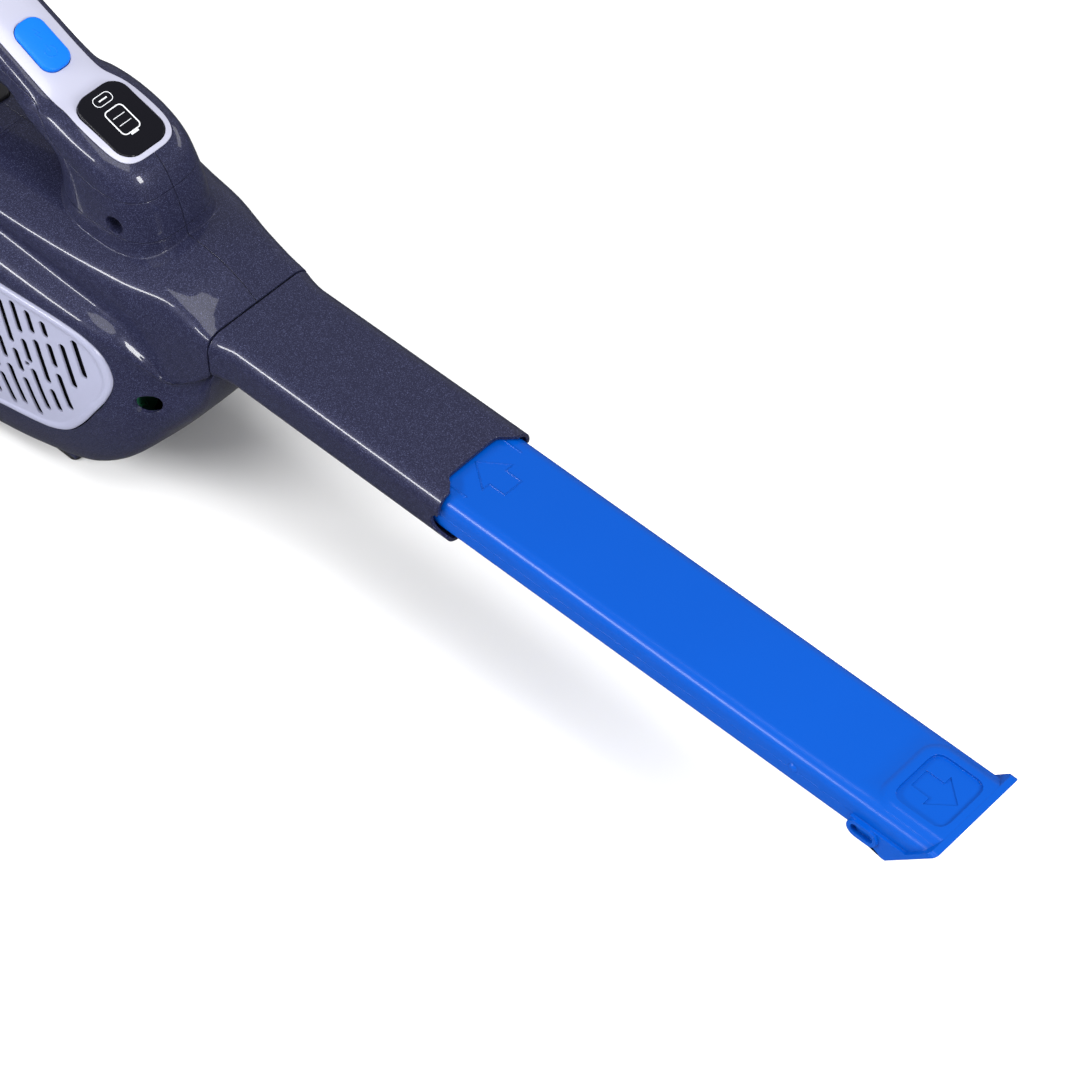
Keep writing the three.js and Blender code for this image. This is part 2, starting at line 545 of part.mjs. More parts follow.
function housingOpenings() {
  const front = rectangleTube([
    [1, SPIGOT.halfWidth + GAP, SPIGOT.halfHeight + GAP, SPIGOT.radius],
    [-14.5, SPIGOT.halfWidth + GAP, SPIGOT.halfHeight + GAP, SPIGOT.radius],
  ]);
  const liner = rectangleTube([
    [SPIGOT.rear, DUCT.halfWidth + GAP, DUCT.halfHeight + GAP, DUCT.radius],
    [BULKHEAD_X - 5, DUCT.halfWidth + GAP, DUCT.halfHeight + GAP, DUCT.radius],
  ]);
  const fanInlet = bar('x', FAN_HOUSING.inlet + 3, BULKHEAD_X - 3, BULKHEAD_X + 5, [0, MOTOR.z], 24);
  const release = block(-158.3, -139.7, -6.3, 6.3, 10, 30);
  const contacts = block(CONTACT.x - CONTACT.half - GAP, CONTACT.x + CONTACT.half + GAP, -14.3, 14.3, -120, -95);
  return joined(front, liner, fanInlet, release, contacts, grillePrism(1, GAP), grillePrism(-1, GAP));
}

const housing = housingBlank();
const HOUSING_SCREWS = SCREWS.slice(1, 3);

function housingHalfShell(side) {
  const half = side > 0 ? leftSide : rightSide;
  return withScrewPosts(housing.shell.intersect(half), housing.envelope.intersect(half), HOUSING_SCREWS, side < 0);
}

// ---------------------------------------------------------------- side grilles
const SLOT = { width: 3, lean: 0.33, pitch: 8.6, long: 17, short: 9.5, bridge: 5, margin: 6.2 };

function insideGrille(x, z, margin) {
  return GRILLE_OUTLINE.every(([ax, az], i) => {
    const [bx, bz] = GRILLE_OUTLINE[(i + 1) % GRILLE_OUTLINE.length];
    const length = Math.hypot(bx - ax, bz - az);
    return ((bx - ax) * (z - az) - (bz - az) * (x - ax)) / length < -margin;
  });
}

// Slots in leaning columns: long and short ones take turns, and neighbours are staggered.
function grilleSlots() {
  const slots = [];
  for (let column = 0; column < 8; column += 1) {
    let z = -12 - (column % 2) * 3.5;
    let long = column % 2 === 0;
    while (z > -82) {
      const length = long ? SLOT.long : SLOT.short;
      const at = (depth) => -46 - column * SLOT.pitch - (depth + 40) * SLOT.lean;
      const [top, bottom] = [[at(z), z], [at(z - length), z - length]];
      if (insideGrille(...top, SLOT.margin) && insideGrille(...bottom, SLOT.margin)) {
        slots.push({ top, bottom });
        z -= length + SLOT.bridge;
        long = !long;
      } else {
        z -= 1.5;
      }
    }
  }
  return slots;
}

function slotPrism({ top, bottom }, side) {
  const length = Math.hypot(bottom[0] - top[0], bottom[1] - top[1]);
  const cutter = new THREE.BoxGeometry(SLOT.width, 40, length + SLOT.width);
  cutter.rotateY(Math.atan(-SLOT.lean));
  return solid(cutter.translate((top[0] + bottom[0]) / 2, side * 50, (top[1] + bottom[1]) / 2));
}

function grille(side) {
  const xs = [-24, -36, -48, -64, -90, -126];
  const skin = housingLoft(xs, -GRILLE_PROUD).subtract(housingLoft([-20, -36, -48, -64, -130], WALL - 0.4));
  return grilleSlots().reduce((body, slot) => body.subtract(slotPrism(slot, side)), skin.intersect(grillePrism(side, 0)));
}

// ---------------------------------------------------------------- handle pieces
const handleTop = handleShell.intersect(aboveSplit(GAP / 2));
const handleBase = handleShell.subtract(aboveSplit(-GAP / 2))
  .intersect(block(-FAR, FAR, -FAR, FAR, HANDLE_SEAM_Z + GAP / 2, FAR));

// Plan outline of the lilac inlay: wide round the display, narrow along the grip.
function inlayPrism(margin) {
  const half = [[-50.6, 7], [-52.6, 11], [-57, 13.6], [-64, 14.3], [-76, 14], [-86, 12.6], [-96, 11.7],
    [-205, 11.7], [-236, 11], [-243, 8]];
  const left = half.map(([x, y]) => [x, y + margin]);
  left[0][0] += margin;
  left.at(-1)[0] -= margin;
  const right = left.map(([x, y]) => [x, -y]).reverse();
  const shape = new THREE.Shape([...left, ...right].map(([x, y]) => new THREE.Vector2(x, y)));
  return solid(new THREE.ExtrudeGeometry(shape, { depth: 90, bevelEnabled: false }).translate(0, 0, 50));
}

const INLAY_THICK = 1.4;

function windowCut(margin) {
  return slopingPlate(DISPLAY, DISPLAY.length + 2 * margin, DISPLAY.width + 2 * margin, DISPLAY.radius + margin, -9, 9);
}

function buttonCut(margin) {
  return slopingPlate(BUTTON, BUTTON.length + 2 * margin, BUTTON.width + 2 * margin, 5 + margin, -12, 9);
}

function upperHalf() {
  return aboveSplit(2);
}

function handleInlay() {
  const skin = handleLoft(-0.2).subtract(handleLoft(INLAY_THICK - 0.2)).intersect(upperHalf());
  return skin.intersect(inlayPrism(0)).subtract(windowCut(GAP)).subtract(buttonCut(GAP));
}

function handleTopShell(side) {
  const recess = handleLoft(-1).subtract(handleLoft(INLAY_THICK - 0.2 + GAP)).intersect(aboveSplit(1.6)).intersect(inlayPrism(GAP));
  const bare = handleTop.subtract(recess).subtract(windowCut(-1.5)).subtract(windowCutUpper()).subtract(buttonCut(GAP));
  return bare.intersect(side > 0 ? leftSide : rightSide);
}

// The window drops into a rebate, so the shell below it keeps a ledge.
function windowCutUpper() {
  const size = [DISPLAY.length + 2 * GAP, DISPLAY.width + 2 * GAP, DISPLAY.radius + GAP];
  return slopingPlate(DISPLAY, ...size, -2.1, 9);
}

function handleBaseShell(side) {
  const half = side > 0 ? leftSide : rightSide;
  const envelope = handleLoft(0).subtract(aboveSplit(-GAP / 2)).intersect(half)
    .intersect(block(-FAR, FAR, -FAR, FAR, HANDLE_SEAM_Z + GAP / 2, FAR));
  const screws = [SCREWS[0], ...SCREWS.slice(3)];
  return withScrewPosts(handleBase.intersect(half), envelope, screws, side < 0);
}

function displayWindow() {
  return slopingPlate(DISPLAY, DISPLAY.length, DISPLAY.width, DISPLAY.radius, -1.6, 0.5);
}

function controlBoard() {
  return slopingPlate(DISPLAY, 22, 20, 2, -9, -7.4);
}

function powerButton() {
  const cap = slopingPlate(BUTTON, BUTTON.length, BUTTON.width, 5, -3.6, BUTTON.proud);
  const stem = slopingPlate(BUTTON, 4, 4, 1, -7, -3.4, 2);
  return cap.add(stem);
}

// A coil stands in as a short sleeve round the button's stem.
function buttonSpring() {
  const sleeve = new THREE.Shape().absarc(0, 0, 3.9, 0, 2 * Math.PI);
  sleeve.holes.push(new THREE.Path().absarc(0, 0, 3.2, 0, 2 * Math.PI));
  const tube = new THREE.ExtrudeGeometry(sleeve, { depth: 2.4, bevelEnabled: false, curveSegments: 8 });
  return solid(tube.translate(0, 0, -8.3).rotateY(THREE.MathUtils.degToRad(BUTTON.tilt)).translate(BUTTON.x, 0, BUTTON.z));
}

function powerSwitch() {
  return slopingPlate(BUTTON, 12, 9, 1, -14, -9.2, 2);
}

// ---------------------------------------------------------------- motor, fan and cells
function motorCan() {
  const { z, radius, front, rear, wall } = MOTOR;
  const can = bar('x', radius, front, rear, [0, z], 24);
  const hollow = bar('x', radius - wall, front + 1, rear + wall, [0, z], 24);
  const vents = stations(0, 4, 4).slice(0, 4).map((turn) => ventHole(turn * (Math.PI / 2)));
  return can.subtract(hollow).subtract(bar('x', 5.2, front, rear - 1, [0, z], 12)).subtract(joined(...vents));
}

function ventHole(angle) {
  const [y, z] = [Math.cos(angle) * 12, Math.sin(angle) * 12 + MOTOR.z];
  return bar('x', 3.4, MOTOR.rear - 1, MOTOR.rear + 3, [y, z], 8);
}

function motorEndCap() {
  const { z, radius, front } = MOTOR;
  const cap = bar('x', radius, front + GAP, front + 5, [0, z], 24);
  const brushes = block(front + 4, front + 9, -16, 16, z - 3.5, z + 3.5);
  return cap.add(brushes).subtract(bar('x', 5.2, front - 1, front + 12, [0, z], 16));
}

function bearing(x) {
  return tubeAlong('x', 4.9, SHAFT_RADIUS + 0.3, x, x + 4, [0, MOTOR.z], 16);
}

function armature() {
  const { z, front, rear } = MOTOR;
  const stack = tubeAlong('x', 15.5, SHAFT_RADIUS + 0.3, rear + 10, front - 10, [0, z], 24);
  const slots = stations(0, 8, 8).slice(0, 8).map((turn) => {
    const angle = turn * (Math.PI / 4);
    const [y, dz] = [Math.cos(angle) * 15, Math.sin(angle) * 15];
    return bar('x', 2.2, rear + 9, front - 9, [y, z + dz], 8);
  });
  return stack.subtract(joined(...slots));
}

function motorShaft() {
  return bar('x', SHAFT_RADIUS, FAN.rear - 3.5, MOTOR.front + 8, [0, MOTOR.z], 12);
}

function impeller() {
  const { radius, front, rear, blades } = FAN;
  const back = bar('x', radius, front, front - 1.6, [0, MOTOR.z], 24);
  const hub = bar('x', 7, front, rear, [0, MOTOR.z], 16);
  const vanes = Array.from({ length: blades }, (_, i) => vane((2 * Math.PI * i) / blades));
  return joined(back, hub, ...vanes).subtract(bar('x', SHAFT_RADIUS + GAP, rear - 1, front + 1, [0, MOTOR.z], 12));
}

function vane(angle) {
  const blade = new THREE.BoxGeometry(FAN.front - FAN.rear, FAN.radius - 8, 1.4);
  blade.translate((FAN.front + FAN.rear) / 2, (FAN.radius + 4) / 2, 0);
  blade.rotateX(0.35).rotateX(angle).translate(0, 0, MOTOR.z);
  return solid(blade);
}

function fanHousing() {
  const { radius, front, rear, wall, inlet } = FAN_HOUSING;
  const cup = bar('x', radius, rear, front, [0, MOTOR.z], 24).subtract(block(-FAR, FAR, -FAR, FAR, -13, 0));
  const hollow = bar('x', radius - wall, rear + wall, front - wall, [0, MOTOR.z], 24).subtract(block(-FAR, FAR, -FAR, FAR, -13 - wall, 0));
  const eye = bar('x', inlet, rear - 1, rear + 3, [0, MOTOR.z], 16);
  const collar = bar('x', 7, front - 3, front + 1, [0, MOTOR.z], 16);
  const outlets = [-60, 0, 60, 180].map((degrees) => {
    const angle = THREE.MathUtils.degToRad(degrees);
    const [y, z] = [Math.cos(angle) * 27, Math.sin(angle) * 27 + MOTOR.z];
    return bar('x', 5, front - 3, front + 1, [y, z], 8);
  });
  return cup.subtract(hollow).subtract(joined(eye, collar, ...outlets));
}

// A rubber saddle under the can, held up by the housing's ribs.
function motorMount(x) {
  return tubeAlong('x', MOTOR.radius + 3, MOTOR.radius + GAP, x - 2, x + 2, [0, MOTOR.z], 24)
    .intersect(block(-FAR, FAR, -17, 17, -FAR, MOTOR.z - 9));
}

const CELLS = [
  { name: 'cell_right_upper', y: -29.3, z: -34.5 },
  { name: 'cell_right_lower', y: -29.3, z: -54.1 },
  { name: 'cell_left_upper', y: 29.3, z: -34.5 },
  { name: 'cell_left_lower', y: 29.3, z: -54.1 },
];

function cellAlongX({ y, z }) {
  const body = bar('x', CELL.radius, CELL_REAR_X, CELL_REAR_X + CELL.length - 1.5, [y, z], 16);
  const button = bar('x', 3, CELL_REAR_X + CELL.length - 2, CELL_REAR_X + CELL.length, [y, z], 10);
  return body.add(button);
}

function cellAcross() {
  const [x, z] = [-84, -84.4];
  const body = bar('y', CELL.radius, -CELL.length / 2, CELL.length / 2 - 1.5, [x, z], 16);
  return body.add(bar('y', 3, CELL.length / 2 - 2, CELL.length / 2, [x, z], 10));
}

// A plate that holds the four long cells round the motor's middle.
function cellCarrier() {
  const x = -70;
  const plate = block(x - 3, x + 3, -39.4, 39.4, -76, -25);
  const seats = CELLS.map(({ y, z }) => bar('x', CELL.radius + GAP, x - 4, x + 4, [y, z], 16));
  return plate.subtract(joined(bar('x', 20.4, x - 4, x + 4, [0, MOTOR.z], 24), block(x - 4, x + 4, -20, 20, -52, -20), ...seats));
}

// ---------------------------------------------------------------- dust bowl
const BOWL_STATIONS = [BOWL.front, -165, -206, BOWL.rear];

function bowlLoft(inset, stretch) {
  const xs = [...BOWL_STATIONS];
  xs[0] += stretch;
  xs[xs.length - 1] -= stretch;
  return housingLoft(xs, inset).intersect(block(-FAR, FAR, -FAR, FAR, -FAR, BOWL.top - inset));
}

function dustBowl() {
  const runners = [1, -1].map((side) => block(-238, -150, side * 30 - 4, side * 30 + 4, FLOOR_Z, -100));
  const lugs = [1, -1].map((side) => {
    const knuckle = bar('y', DOOR.knuckle, side * 27, side * 22, [DOOR.hingeX, DOOR.hingeZ], 12);
    return knuckle.add(block(DOOR.hingeX, BOWL.rear + 1, side * 27, side * 22, 8.4, 12));
  });
  const pinHole = bar('y', DOOR.pinRadius + GAP, -40, 40, [DOOR.hingeX, DOOR.hingeZ], 12);
  return joined(bowlLoft(0, 0), ...runners, ...lugs).subtract(bowlLoft(BOWL.wall, 2)).subtract(pinHole);
}

function bowlSeal() {
  const [outer, inner] = [loftSlice(-128.9, -131.4, BOWL.wall + 0.5), loftSlice(-128, -133, BOWL.wall + 1.7)];
  return outer.subtract(inner);
}

function loftSlice(from, to, inset) {
  return housingLoft([from, to], inset).intersect(block(-FAR, FAR, -FAR, FAR, -FAR, BOWL.top - inset));
}

function bowlDoor() {
  const front = BOWL.rear - GAP;
  const plate = loftSlice(front, front - DOOR.thick, 0).subtract(block(-FAR, FAR, -28, 28, 7.4, FAR))
    .subtract(block(-FAR, FAR, -FAR, FAR, 10.6, FAR));
  const knuckle = bar('y', DOOR.knuckle, -21.5, 21.5, [DOOR.hingeX, DOOR.hingeZ], 12);
  const web = block(DOOR.hingeX - 1, front - 0.4, -21.5, 21.5, 5, 9);
  const pinHole = bar('y', DOOR.pinRadius + GAP, -40, 40, [DOOR.hingeX, DOOR.hingeZ], 12);
  const ears = [1, -1].map((side) => block(-253.4, -248, side * 14.4, side * 12, -96, -86));
  const latchPinHole = bar('y', 1.5, -30, 30, [LATCH.x, LATCH.z], 10);
  return joined(plate, knuckle, web, ...ears).subtract(pinHole).subtract(latchPinHole);
}

function doorSeal() {
  return loftSlice(BOWL.rear + 2.4, BOWL.rear + 0.1, BOWL.wall + 0.5).subtract(loftSlice(BOWL.rear + 4, BOWL.rear - 1, BOWL.wall + 2.2));
}

const LATCH = { x: -251.6, z: -91, half: 11.5 };

function hingePin() {
  return bar('y', DOOR.pinRadius, -27.6, 27.6, [DOOR.hingeX, DOOR.hingeZ], 12);
}

function latchPin() {
  return bar('y', 1.2, -15, 15, [LATCH.x, LATCH.z], 10);
}

// A rocking catch on the door: press its upper pad and the toe under the bowl's rim drops.
function doorLatch() {
  const { x, z, half } = LATCH;
  const outline = [[x - 2, z + 9], [x - 3.6, z + 8], [x - 3.2, z - 4], [x - 1.6, -107.6], [x + 0.5, -108.6],
    [x + 13, -108.6], [x + 13, -107.4], [x + 1.6, -107.2], [x + 1.2, z - 3], [x + 1.2, z + 3], [x - 1.2, z + 5]];
  return sideProfile(outline.reverse(), -half, half).subtract(bar('y', 1.5, -20, 20, [x, z], 10));
}

function inletFlap() {
  const { x, z, half } = FLAP;
  const plate = block(x + 0.8, x - 0.4, -half, half, -11, z);
  const barrel = bar('y', 1.5, -half, half, [x, z], 10);
  return plate.add(barrel).subtract(bar('y', 0.9, -30, 30, [x, z], 8));
}

function flapPin() {
  return bar('y', 0.6, -23, 23, [FLAP.x, FLAP.z], 8);
}

function prefilterCup() {
  const { z, front, rear, frontRadius, rearRadius, wall } = FILTER;
  const profile = [[16, rear], [rearRadius, rear], [frontRadius, front - 3], [frontRadius + 4, front - 2.4], [frontRadius + 4, front],
    [frontRadius - wall, front], [rearRadius - wall, rear + wall], [16, rear + wall]];
  return turned([...profile, profile[0]], z);
}

// A ring turned about the filter's axis from a closed outline of [radius, x] points.
function turned(outline, z, sides = 24) {
  const lathe = new THREE.LatheGeometry(outline.map(([r, x]) => new THREE.Vector2(r, x)), sides);
  return solid(lathe.rotateZ(-Math.PI / 2).translate(0, 0, z));
}

function pleatedFilter() {
  const pleats = 18;
  const star = Array.from({ length: 2 * pleats }, (_, i) => {
    const angle = (Math.PI * i) / pleats;
    const radius = i % 2 ? 18 : 23.6;
    return new THREE.Vector2(radius * Math.cos(angle), radius * Math.sin(angle));
  });
  const shape = new THREE.Shape(star);
  shape.holes.push(new THREE.Path().absarc(0, 0, 14.5, 0, 2 * Math.PI));
  const sleeve = new THREE.ExtrudeGeometry(shape, { depth: 50, bevelEnabled: false, curveSegments: 10 });
  return solid(sleeve.rotateY(Math.PI / 2).translate(-184, 0, FILTER.z));
}

function filterFrame() {
  const flange = tubeAlong('x', 29, 14.5, -131.6, -133.6, [0, FILTER.z], 24);
  const lip = tubeAlong('x', 17, 14.5, -130, -132, [0, FILTER.z], 24);
  return flange.add(lip);
}

// ---------------------------------------------------------------- small pieces
function releaseButton() {
  const cap = slopingPlate({ x: -149, z: 22, tilt: 0 }, 18, 12, 3, -3, 1.8);
  return cap.add(slopingPlate({ x: -149, z: 22, tilt: 0 }, 6, 5, 1, -6, -2.5, 2));
}

function contactBlock() {
  const { x, half, halfWidth } = CONTACT;
  const plate = block(x - half, x + half, -halfWidth, halfWidth, -104.4, -99.4);
  const slots = [1, -1].map((side) => block(x - 4.3, x + 4.3, side * 7 - 2.8, side * 7 + 2.8, -106, -103));
  return plate.subtract(joined(...slots));
}

function contactStrip(side) {
  return block(CONTACT.x - 4, CONTACT.x + 4, side * 7 - 2.5, side * 7 + 2.5, -104.2, -102.7 - GAP);
}

function footPad(side) {
  const { x, y, length, width, pad } = FOOT;
  const shape = roundedRectangle(x, side * y, length, width, 3);
  const plate = new THREE.ExtrudeGeometry(shape, { depth: pad - GAP, bevelEnabled: false, curveSegments: 3 });
  return solid(plate.translate(0, 0, FLOOR_Z));
}

// A lead from the cells, past the duct's side and up the column to the switch.
function lead(side) {
  const route = [[-47, 28.4, -22], [-51, 27.8, -8], [-55, 26.6, 6], [-60, 19, 14.4], [-65, 9, 17], [-72, 5, 27],
    [-80, 5, 38], [-90, 5, 46.6]];
  const points = route.map(([x, y, z]) => new THREE.Vector3(x, side * y, z));
  const section = new THREE.Shape().absarc(0, 0, 1, 0, 2 * Math.PI);
  const options = { steps: 12, bevelEnabled: false, curveSegments: 3, extrudePath: new THREE.CatmullRomCurve3(points) };
  return solid(new THREE.ExtrudeGeometry(section, options));
}

// ---------------------------------------------------------------- assembly
const vacuum = new THREE.Group();
const design = new THREE.Group();
design.position.set(-(TOOL.tip + TAIL_X) / 2, 0, -FLOOR_Z);
vacuum.add(design);

function place(name, manifold, colour) {
  const { vertProperties, triVerts } = manifold.getMesh();
  const geometry = new THREE.BufferGeometry();
  geometry.setAttribute('position', new THREE.BufferAttribute(vertProperties, 3));
  geometry.setIndex(new THREE.BufferAttribute(triVerts, 1));
  geometry.computeVertexNormals();
  const mesh = new THREE.Mesh(geometry, new THREE.MeshStandardMaterial(COLOURS[colour]));
  mesh.name = name;
  design.add(mesh);
}

for (const [name, side] of [['right', -1], ['left', 1]]) {
  place(`housing_${name}`, housingHalfShell(side), 'slate');
  place(`handle_base_${name}`, handleBaseShell(side), 'slate');
  place(`handle_top_${name}`, handleTopShell(side), 'slate');
  place(`grille_${name}`, grille(side), 'lilac');
  place(`foot_${name}`, footPad(side), 'rubber');
  place(`charge_contact_${name}`, contactStrip(side), 'brass');
  place(`lead_${name}`, lead(side), side > 0 ? 'red' : 'black');
}
place('nozzle', nozzle(), 'slate');
place('duct_liner', ductLiner(), 'black');
place('crevice_tool', creviceTool(), 'blue');
place('handle_inlay', handleInlay(), 'lilac');
place('display_window', displayWindow(), 'glassBlack');
place('control_board', controlBoard(), 'green');
place('power_button', powerButton(), 'brightBlue');
place('button_spring', buttonSpring(), 'steel');
place('power_switch', powerSwitch(), 'black');
place('motor_can', motorCan(), 'steel');
place('motor_end_cap', motorEndCap(), 'black');
place('bearing_front', bearing(MOTOR.front + 0.8), 'brass');
place('bearing_rear', bearing(MOTOR.rear + 1.4), 'brass');
place('armature', armature(), 'copper');
place('motor_shaft', motorShaft(), 'steel');
place('impeller', impeller(), 'black');
place('fan_housing', fanHousing(), 'black');
place('motor_mount_front', motorMount(MOUNT_X[0]), 'rubber');
place('motor_mount_rear', motorMount(MOUNT_X[1]), 'rubber');
for (const cell of CELLS) place(cell.name, cellAlongX(cell), 'cellWrap');
place('cell_bottom', cellAcross(), 'cellWrap');
place('cell_carrier', cellCarrier(), 'black');
place('dust_bowl', dustBowl(), 'smoke');
place('bowl_seal', bowlSeal(), 'rubber');
place('bowl_door', bowlDoor(), 'slate');
place('door_seal', doorSeal(), 'rubber');
place('hinge_pin', hingePin(), 'steel');
place('door_latch', doorLatch(), 'lilac');
place('latch_pin', latchPin(), 'steel');
place('inlet_flap', inletFlap(), 'rubber');
place('flap_pin', flapPin(), 'steel');
place('prefilter_cup', prefilterCup(), 'lilac');
place('pleated_filter', pleatedFilter(), 'paper');
place('filter_frame', filterFrame(), 'black');
place('release_button', releaseButton(), 'brightBlue');
place('contact_block', contactBlock(), 'black');
for (const at of SCREWS) place(at.name, screw(at), 'steel');

export default vacuum;
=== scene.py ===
import json
import math

import bmesh
import bpy
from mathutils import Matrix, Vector


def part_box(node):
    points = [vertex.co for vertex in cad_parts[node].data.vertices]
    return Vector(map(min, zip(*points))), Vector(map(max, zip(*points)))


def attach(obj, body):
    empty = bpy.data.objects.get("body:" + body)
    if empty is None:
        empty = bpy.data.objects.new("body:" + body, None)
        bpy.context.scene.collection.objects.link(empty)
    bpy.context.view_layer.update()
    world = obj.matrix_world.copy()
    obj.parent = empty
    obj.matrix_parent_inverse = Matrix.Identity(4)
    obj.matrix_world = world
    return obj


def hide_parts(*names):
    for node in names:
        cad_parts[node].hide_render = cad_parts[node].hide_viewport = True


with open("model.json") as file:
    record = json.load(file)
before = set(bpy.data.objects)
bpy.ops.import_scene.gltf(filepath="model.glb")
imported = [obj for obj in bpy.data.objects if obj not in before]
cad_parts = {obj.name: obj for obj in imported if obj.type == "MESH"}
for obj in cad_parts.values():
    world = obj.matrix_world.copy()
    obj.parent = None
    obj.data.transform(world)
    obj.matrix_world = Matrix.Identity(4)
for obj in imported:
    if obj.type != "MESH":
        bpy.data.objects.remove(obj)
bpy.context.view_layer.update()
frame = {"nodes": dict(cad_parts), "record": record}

# Design frame in millimetres: x = 0 at the seam between nozzle and housing, z = 0 on the duct's axis.
TIP_X, FLOOR_Z = 340.0, -110.0
SHIFT = Vector((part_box("crevice_tool")[1].x * 1000 - TIP_X, 0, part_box("foot_right")[0].z * 1000 - FLOOR_Z))
SEAM_GAP = 0.6  # between nozzle and housing
SEAM = 0.12  # half the gap between left and right halves
SIDES = (("right", -1), ("left", 1))
FOOT_X, FOOT_Y = -88, 32
ACROSS = (-60, 60)  # a cutter's ends when it runs right through the width


def at(x, y, z):
    return Vector(((x + SHIFT.x) / 1000, y / 1000, (z + SHIFT.z) / 1000))


# ---------------------------------------------------------------- materials
def material(name, color, roughness, metallic=0.0, coat=0.0, coat_roughness=0.05,
             transmission=0.0, ior=1.5):
    made = bpy.data.materials.new(name)
    made.use_nodes = True
    tree = made.node_tree
    shader = tree.nodes["Principled BSDF"]
    settings = {"Base Color": (*color, 1), "Roughness": roughness, "Metallic": metallic,
                "Coat Weight": coat, "Coat Roughness": coat_roughness,
                "Transmission Weight": transmission, "IOR": ior}
    for key, value in settings.items():
        shader.inputs[key].default_value = value
    return made, tree, shader


def node(tree, kind, **inputs):
    made = tree.nodes.new(kind)
    for name, value in inputs.items():
        made.inputs[name.replace("_", " ")].default_value = value
    return made


def link(tree, source, target):
    tree.links.new(source, target)


def object_coordinates(tree):
    return tree.nodes.new("ShaderNodeTexCoord").outputs["Object"]


def noise(tree, scale, detail):
    made = node(tree, "ShaderNodeTexNoise", Scale=scale, Detail=detail)
    link(tree, object_coordinates(tree), made.inputs["Vector"])
    return made.outputs["Fac"]


def ranged(tree, source, **limits):
    made = node(tree, "ShaderNodeMapRange", **limits)
    link(tree, source, made.inputs["Value"])
    return made.outputs["Result"]


def mixed_color(tree, factor, first, second):
    mix = tree.nodes.new("ShaderNodeMix")
    mix.data_type = "RGBA"
    mix.inputs["A"].default_value = (*first, 1)
    mix.inputs["B"].default_value = (*second, 1)
    link(tree, factor, mix.inputs["Factor"])
    return mix.outputs["Result"]


def vector_math(tree, operation, *sources):
    made = tree.nodes.new("ShaderNodeVectorMath")
    made.operation = operation
    for source, target in zip(sources, made.inputs):
        link(tree, source, target)
    return made


def rounded_normal(tree, radius_mm):
    bevel = tree.nodes.new("ShaderNodeBevel")
    bevel.samples = 6
    bevel.inputs["Radius"].default_value = radius_mm / 1000
    return bevel.outputs["Normal"]


GRAIN_SCALE, GRAIN_DEPTH = 2600, 0.00005
ROUGHNESS_SPREAD = 0.04


def add_grain(tree, shader, strength, edge_mm):
    """Fine moulded grain on the normal, and slow changes in the roughness."""
    bump = node(tree, "ShaderNodeBump", Strength=strength, Distance=GRAIN_DEPTH)
    link(tree, noise(tree, GRAIN_SCALE, 3.0), bump.inputs["Height"])
    if edge_mm:
        link(tree, rounded_normal(tree, edge_mm), bump.inputs["Normal"])
    link(tree, bump.outputs["Normal"], shader.inputs["Normal"])
    middle = shader.inputs["Roughness"].default_value
    rough = ranged(tree, noise(tree, GRAIN_SCALE / 40, 4.0),
                   To_Min=middle - ROUGHNESS_SPREAD, To_Max=middle + ROUGHNESS_SPREAD)
    link(tree, rough, shader.inputs["Roughness"])


def plastic(name, color, roughness, grain=0.25, edge_mm=0.35, coat=0.0, specular=0.5):
    made, tree, shader = material(name, color, roughness, coat=coat, coat_roughness=0.12)
    shader.inputs["Specular IOR Level"].default_value = specular
    add_grain(tree, shader, grain, edge_mm)
    darker, lighter = [c * 0.95 for c in color], [min(1, c * 1.05) for c in color]
    shade = mixed_color(tree, noise(tree, 14.0, 2.0), darker, lighter)
    link(tree, shade, shader.inputs["Base Color"])
    return made


FLAKE_JITTER = 0.2
FLAKE_SHARE = (0.84, 1.0)  # cells whose draw lies in this range turn bright


def flake_paint(name, color, flake, size_mm):
    """Gloss plastic with metal flakes: jittered normals under a smooth clear coat."""
    made, tree, shader = material(name, color, 0.34, metallic=0.12, coat=0.45, coat_roughness=0.03)
    shader.inputs["Specular IOR Level"].default_value = 0.12
    smooth = rounded_normal(tree, 0.4)
    cells = node(tree, "ShaderNodeTexVoronoi", Scale=1000 / size_mm)
    link(tree, object_coordinates(tree), cells.inputs["Vector"])
    centred = vector_math(tree, "SUBTRACT", cells.outputs["Color"])
    centred.inputs[1].default_value = (0.5, 0.5, 0.5)
    scaled = vector_math(tree, "SCALE", centred.outputs[0])
    scaled.inputs["Scale"].default_value = FLAKE_JITTER
    summed = vector_math(tree, "ADD", smooth, scaled.outputs[0])
    unit = vector_math(tree, "NORMALIZE", summed.outputs[0])
    link(tree, unit.outputs[0], shader.inputs["Normal"])
    link(tree, smooth, shader.inputs["Coat Normal"])
    split = tree.nodes.new("ShaderNodeSeparateColor")
    link(tree, cells.outputs["Color"], split.inputs["Color"])
    bright = ranged(tree, split.outputs["Red"], From_Min=FLAKE_SHARE[0], From_Max=FLAKE_SHARE[1])
    link(tree, mixed_color(tree, bright, color, flake), shader.inputs["Base Color"])
    return made


def metal(name, color, roughness):
    """Metal with fine streaks in its roughness."""
    made, tree, shader = material(name, color, roughness, metallic=1.0)
    stretch = tree.nodes.new("ShaderNodeMapping")
    stretch.inputs["Scale"].default_value = (1.0, 3.0, 1.0)
    link(tree, object_coordinates(tree), stretch.inputs["Vector"])
    streaks = node(tree, "ShaderNodeTexNoise", Scale=900.0, Detail=5.0)
    link(tree, stretch.outputs["Vector"], streaks.inputs["Vector"])
    rough = ranged(tree, streaks.outputs["Fac"], To_Min=roughness - 0.1, To_Max=roughness + 0.12)
    link(tree, rough, shader.inputs["Roughness"])
    link(tree, rounded_normal(tree, 0.2), shader.inputs["Normal"])
    return made


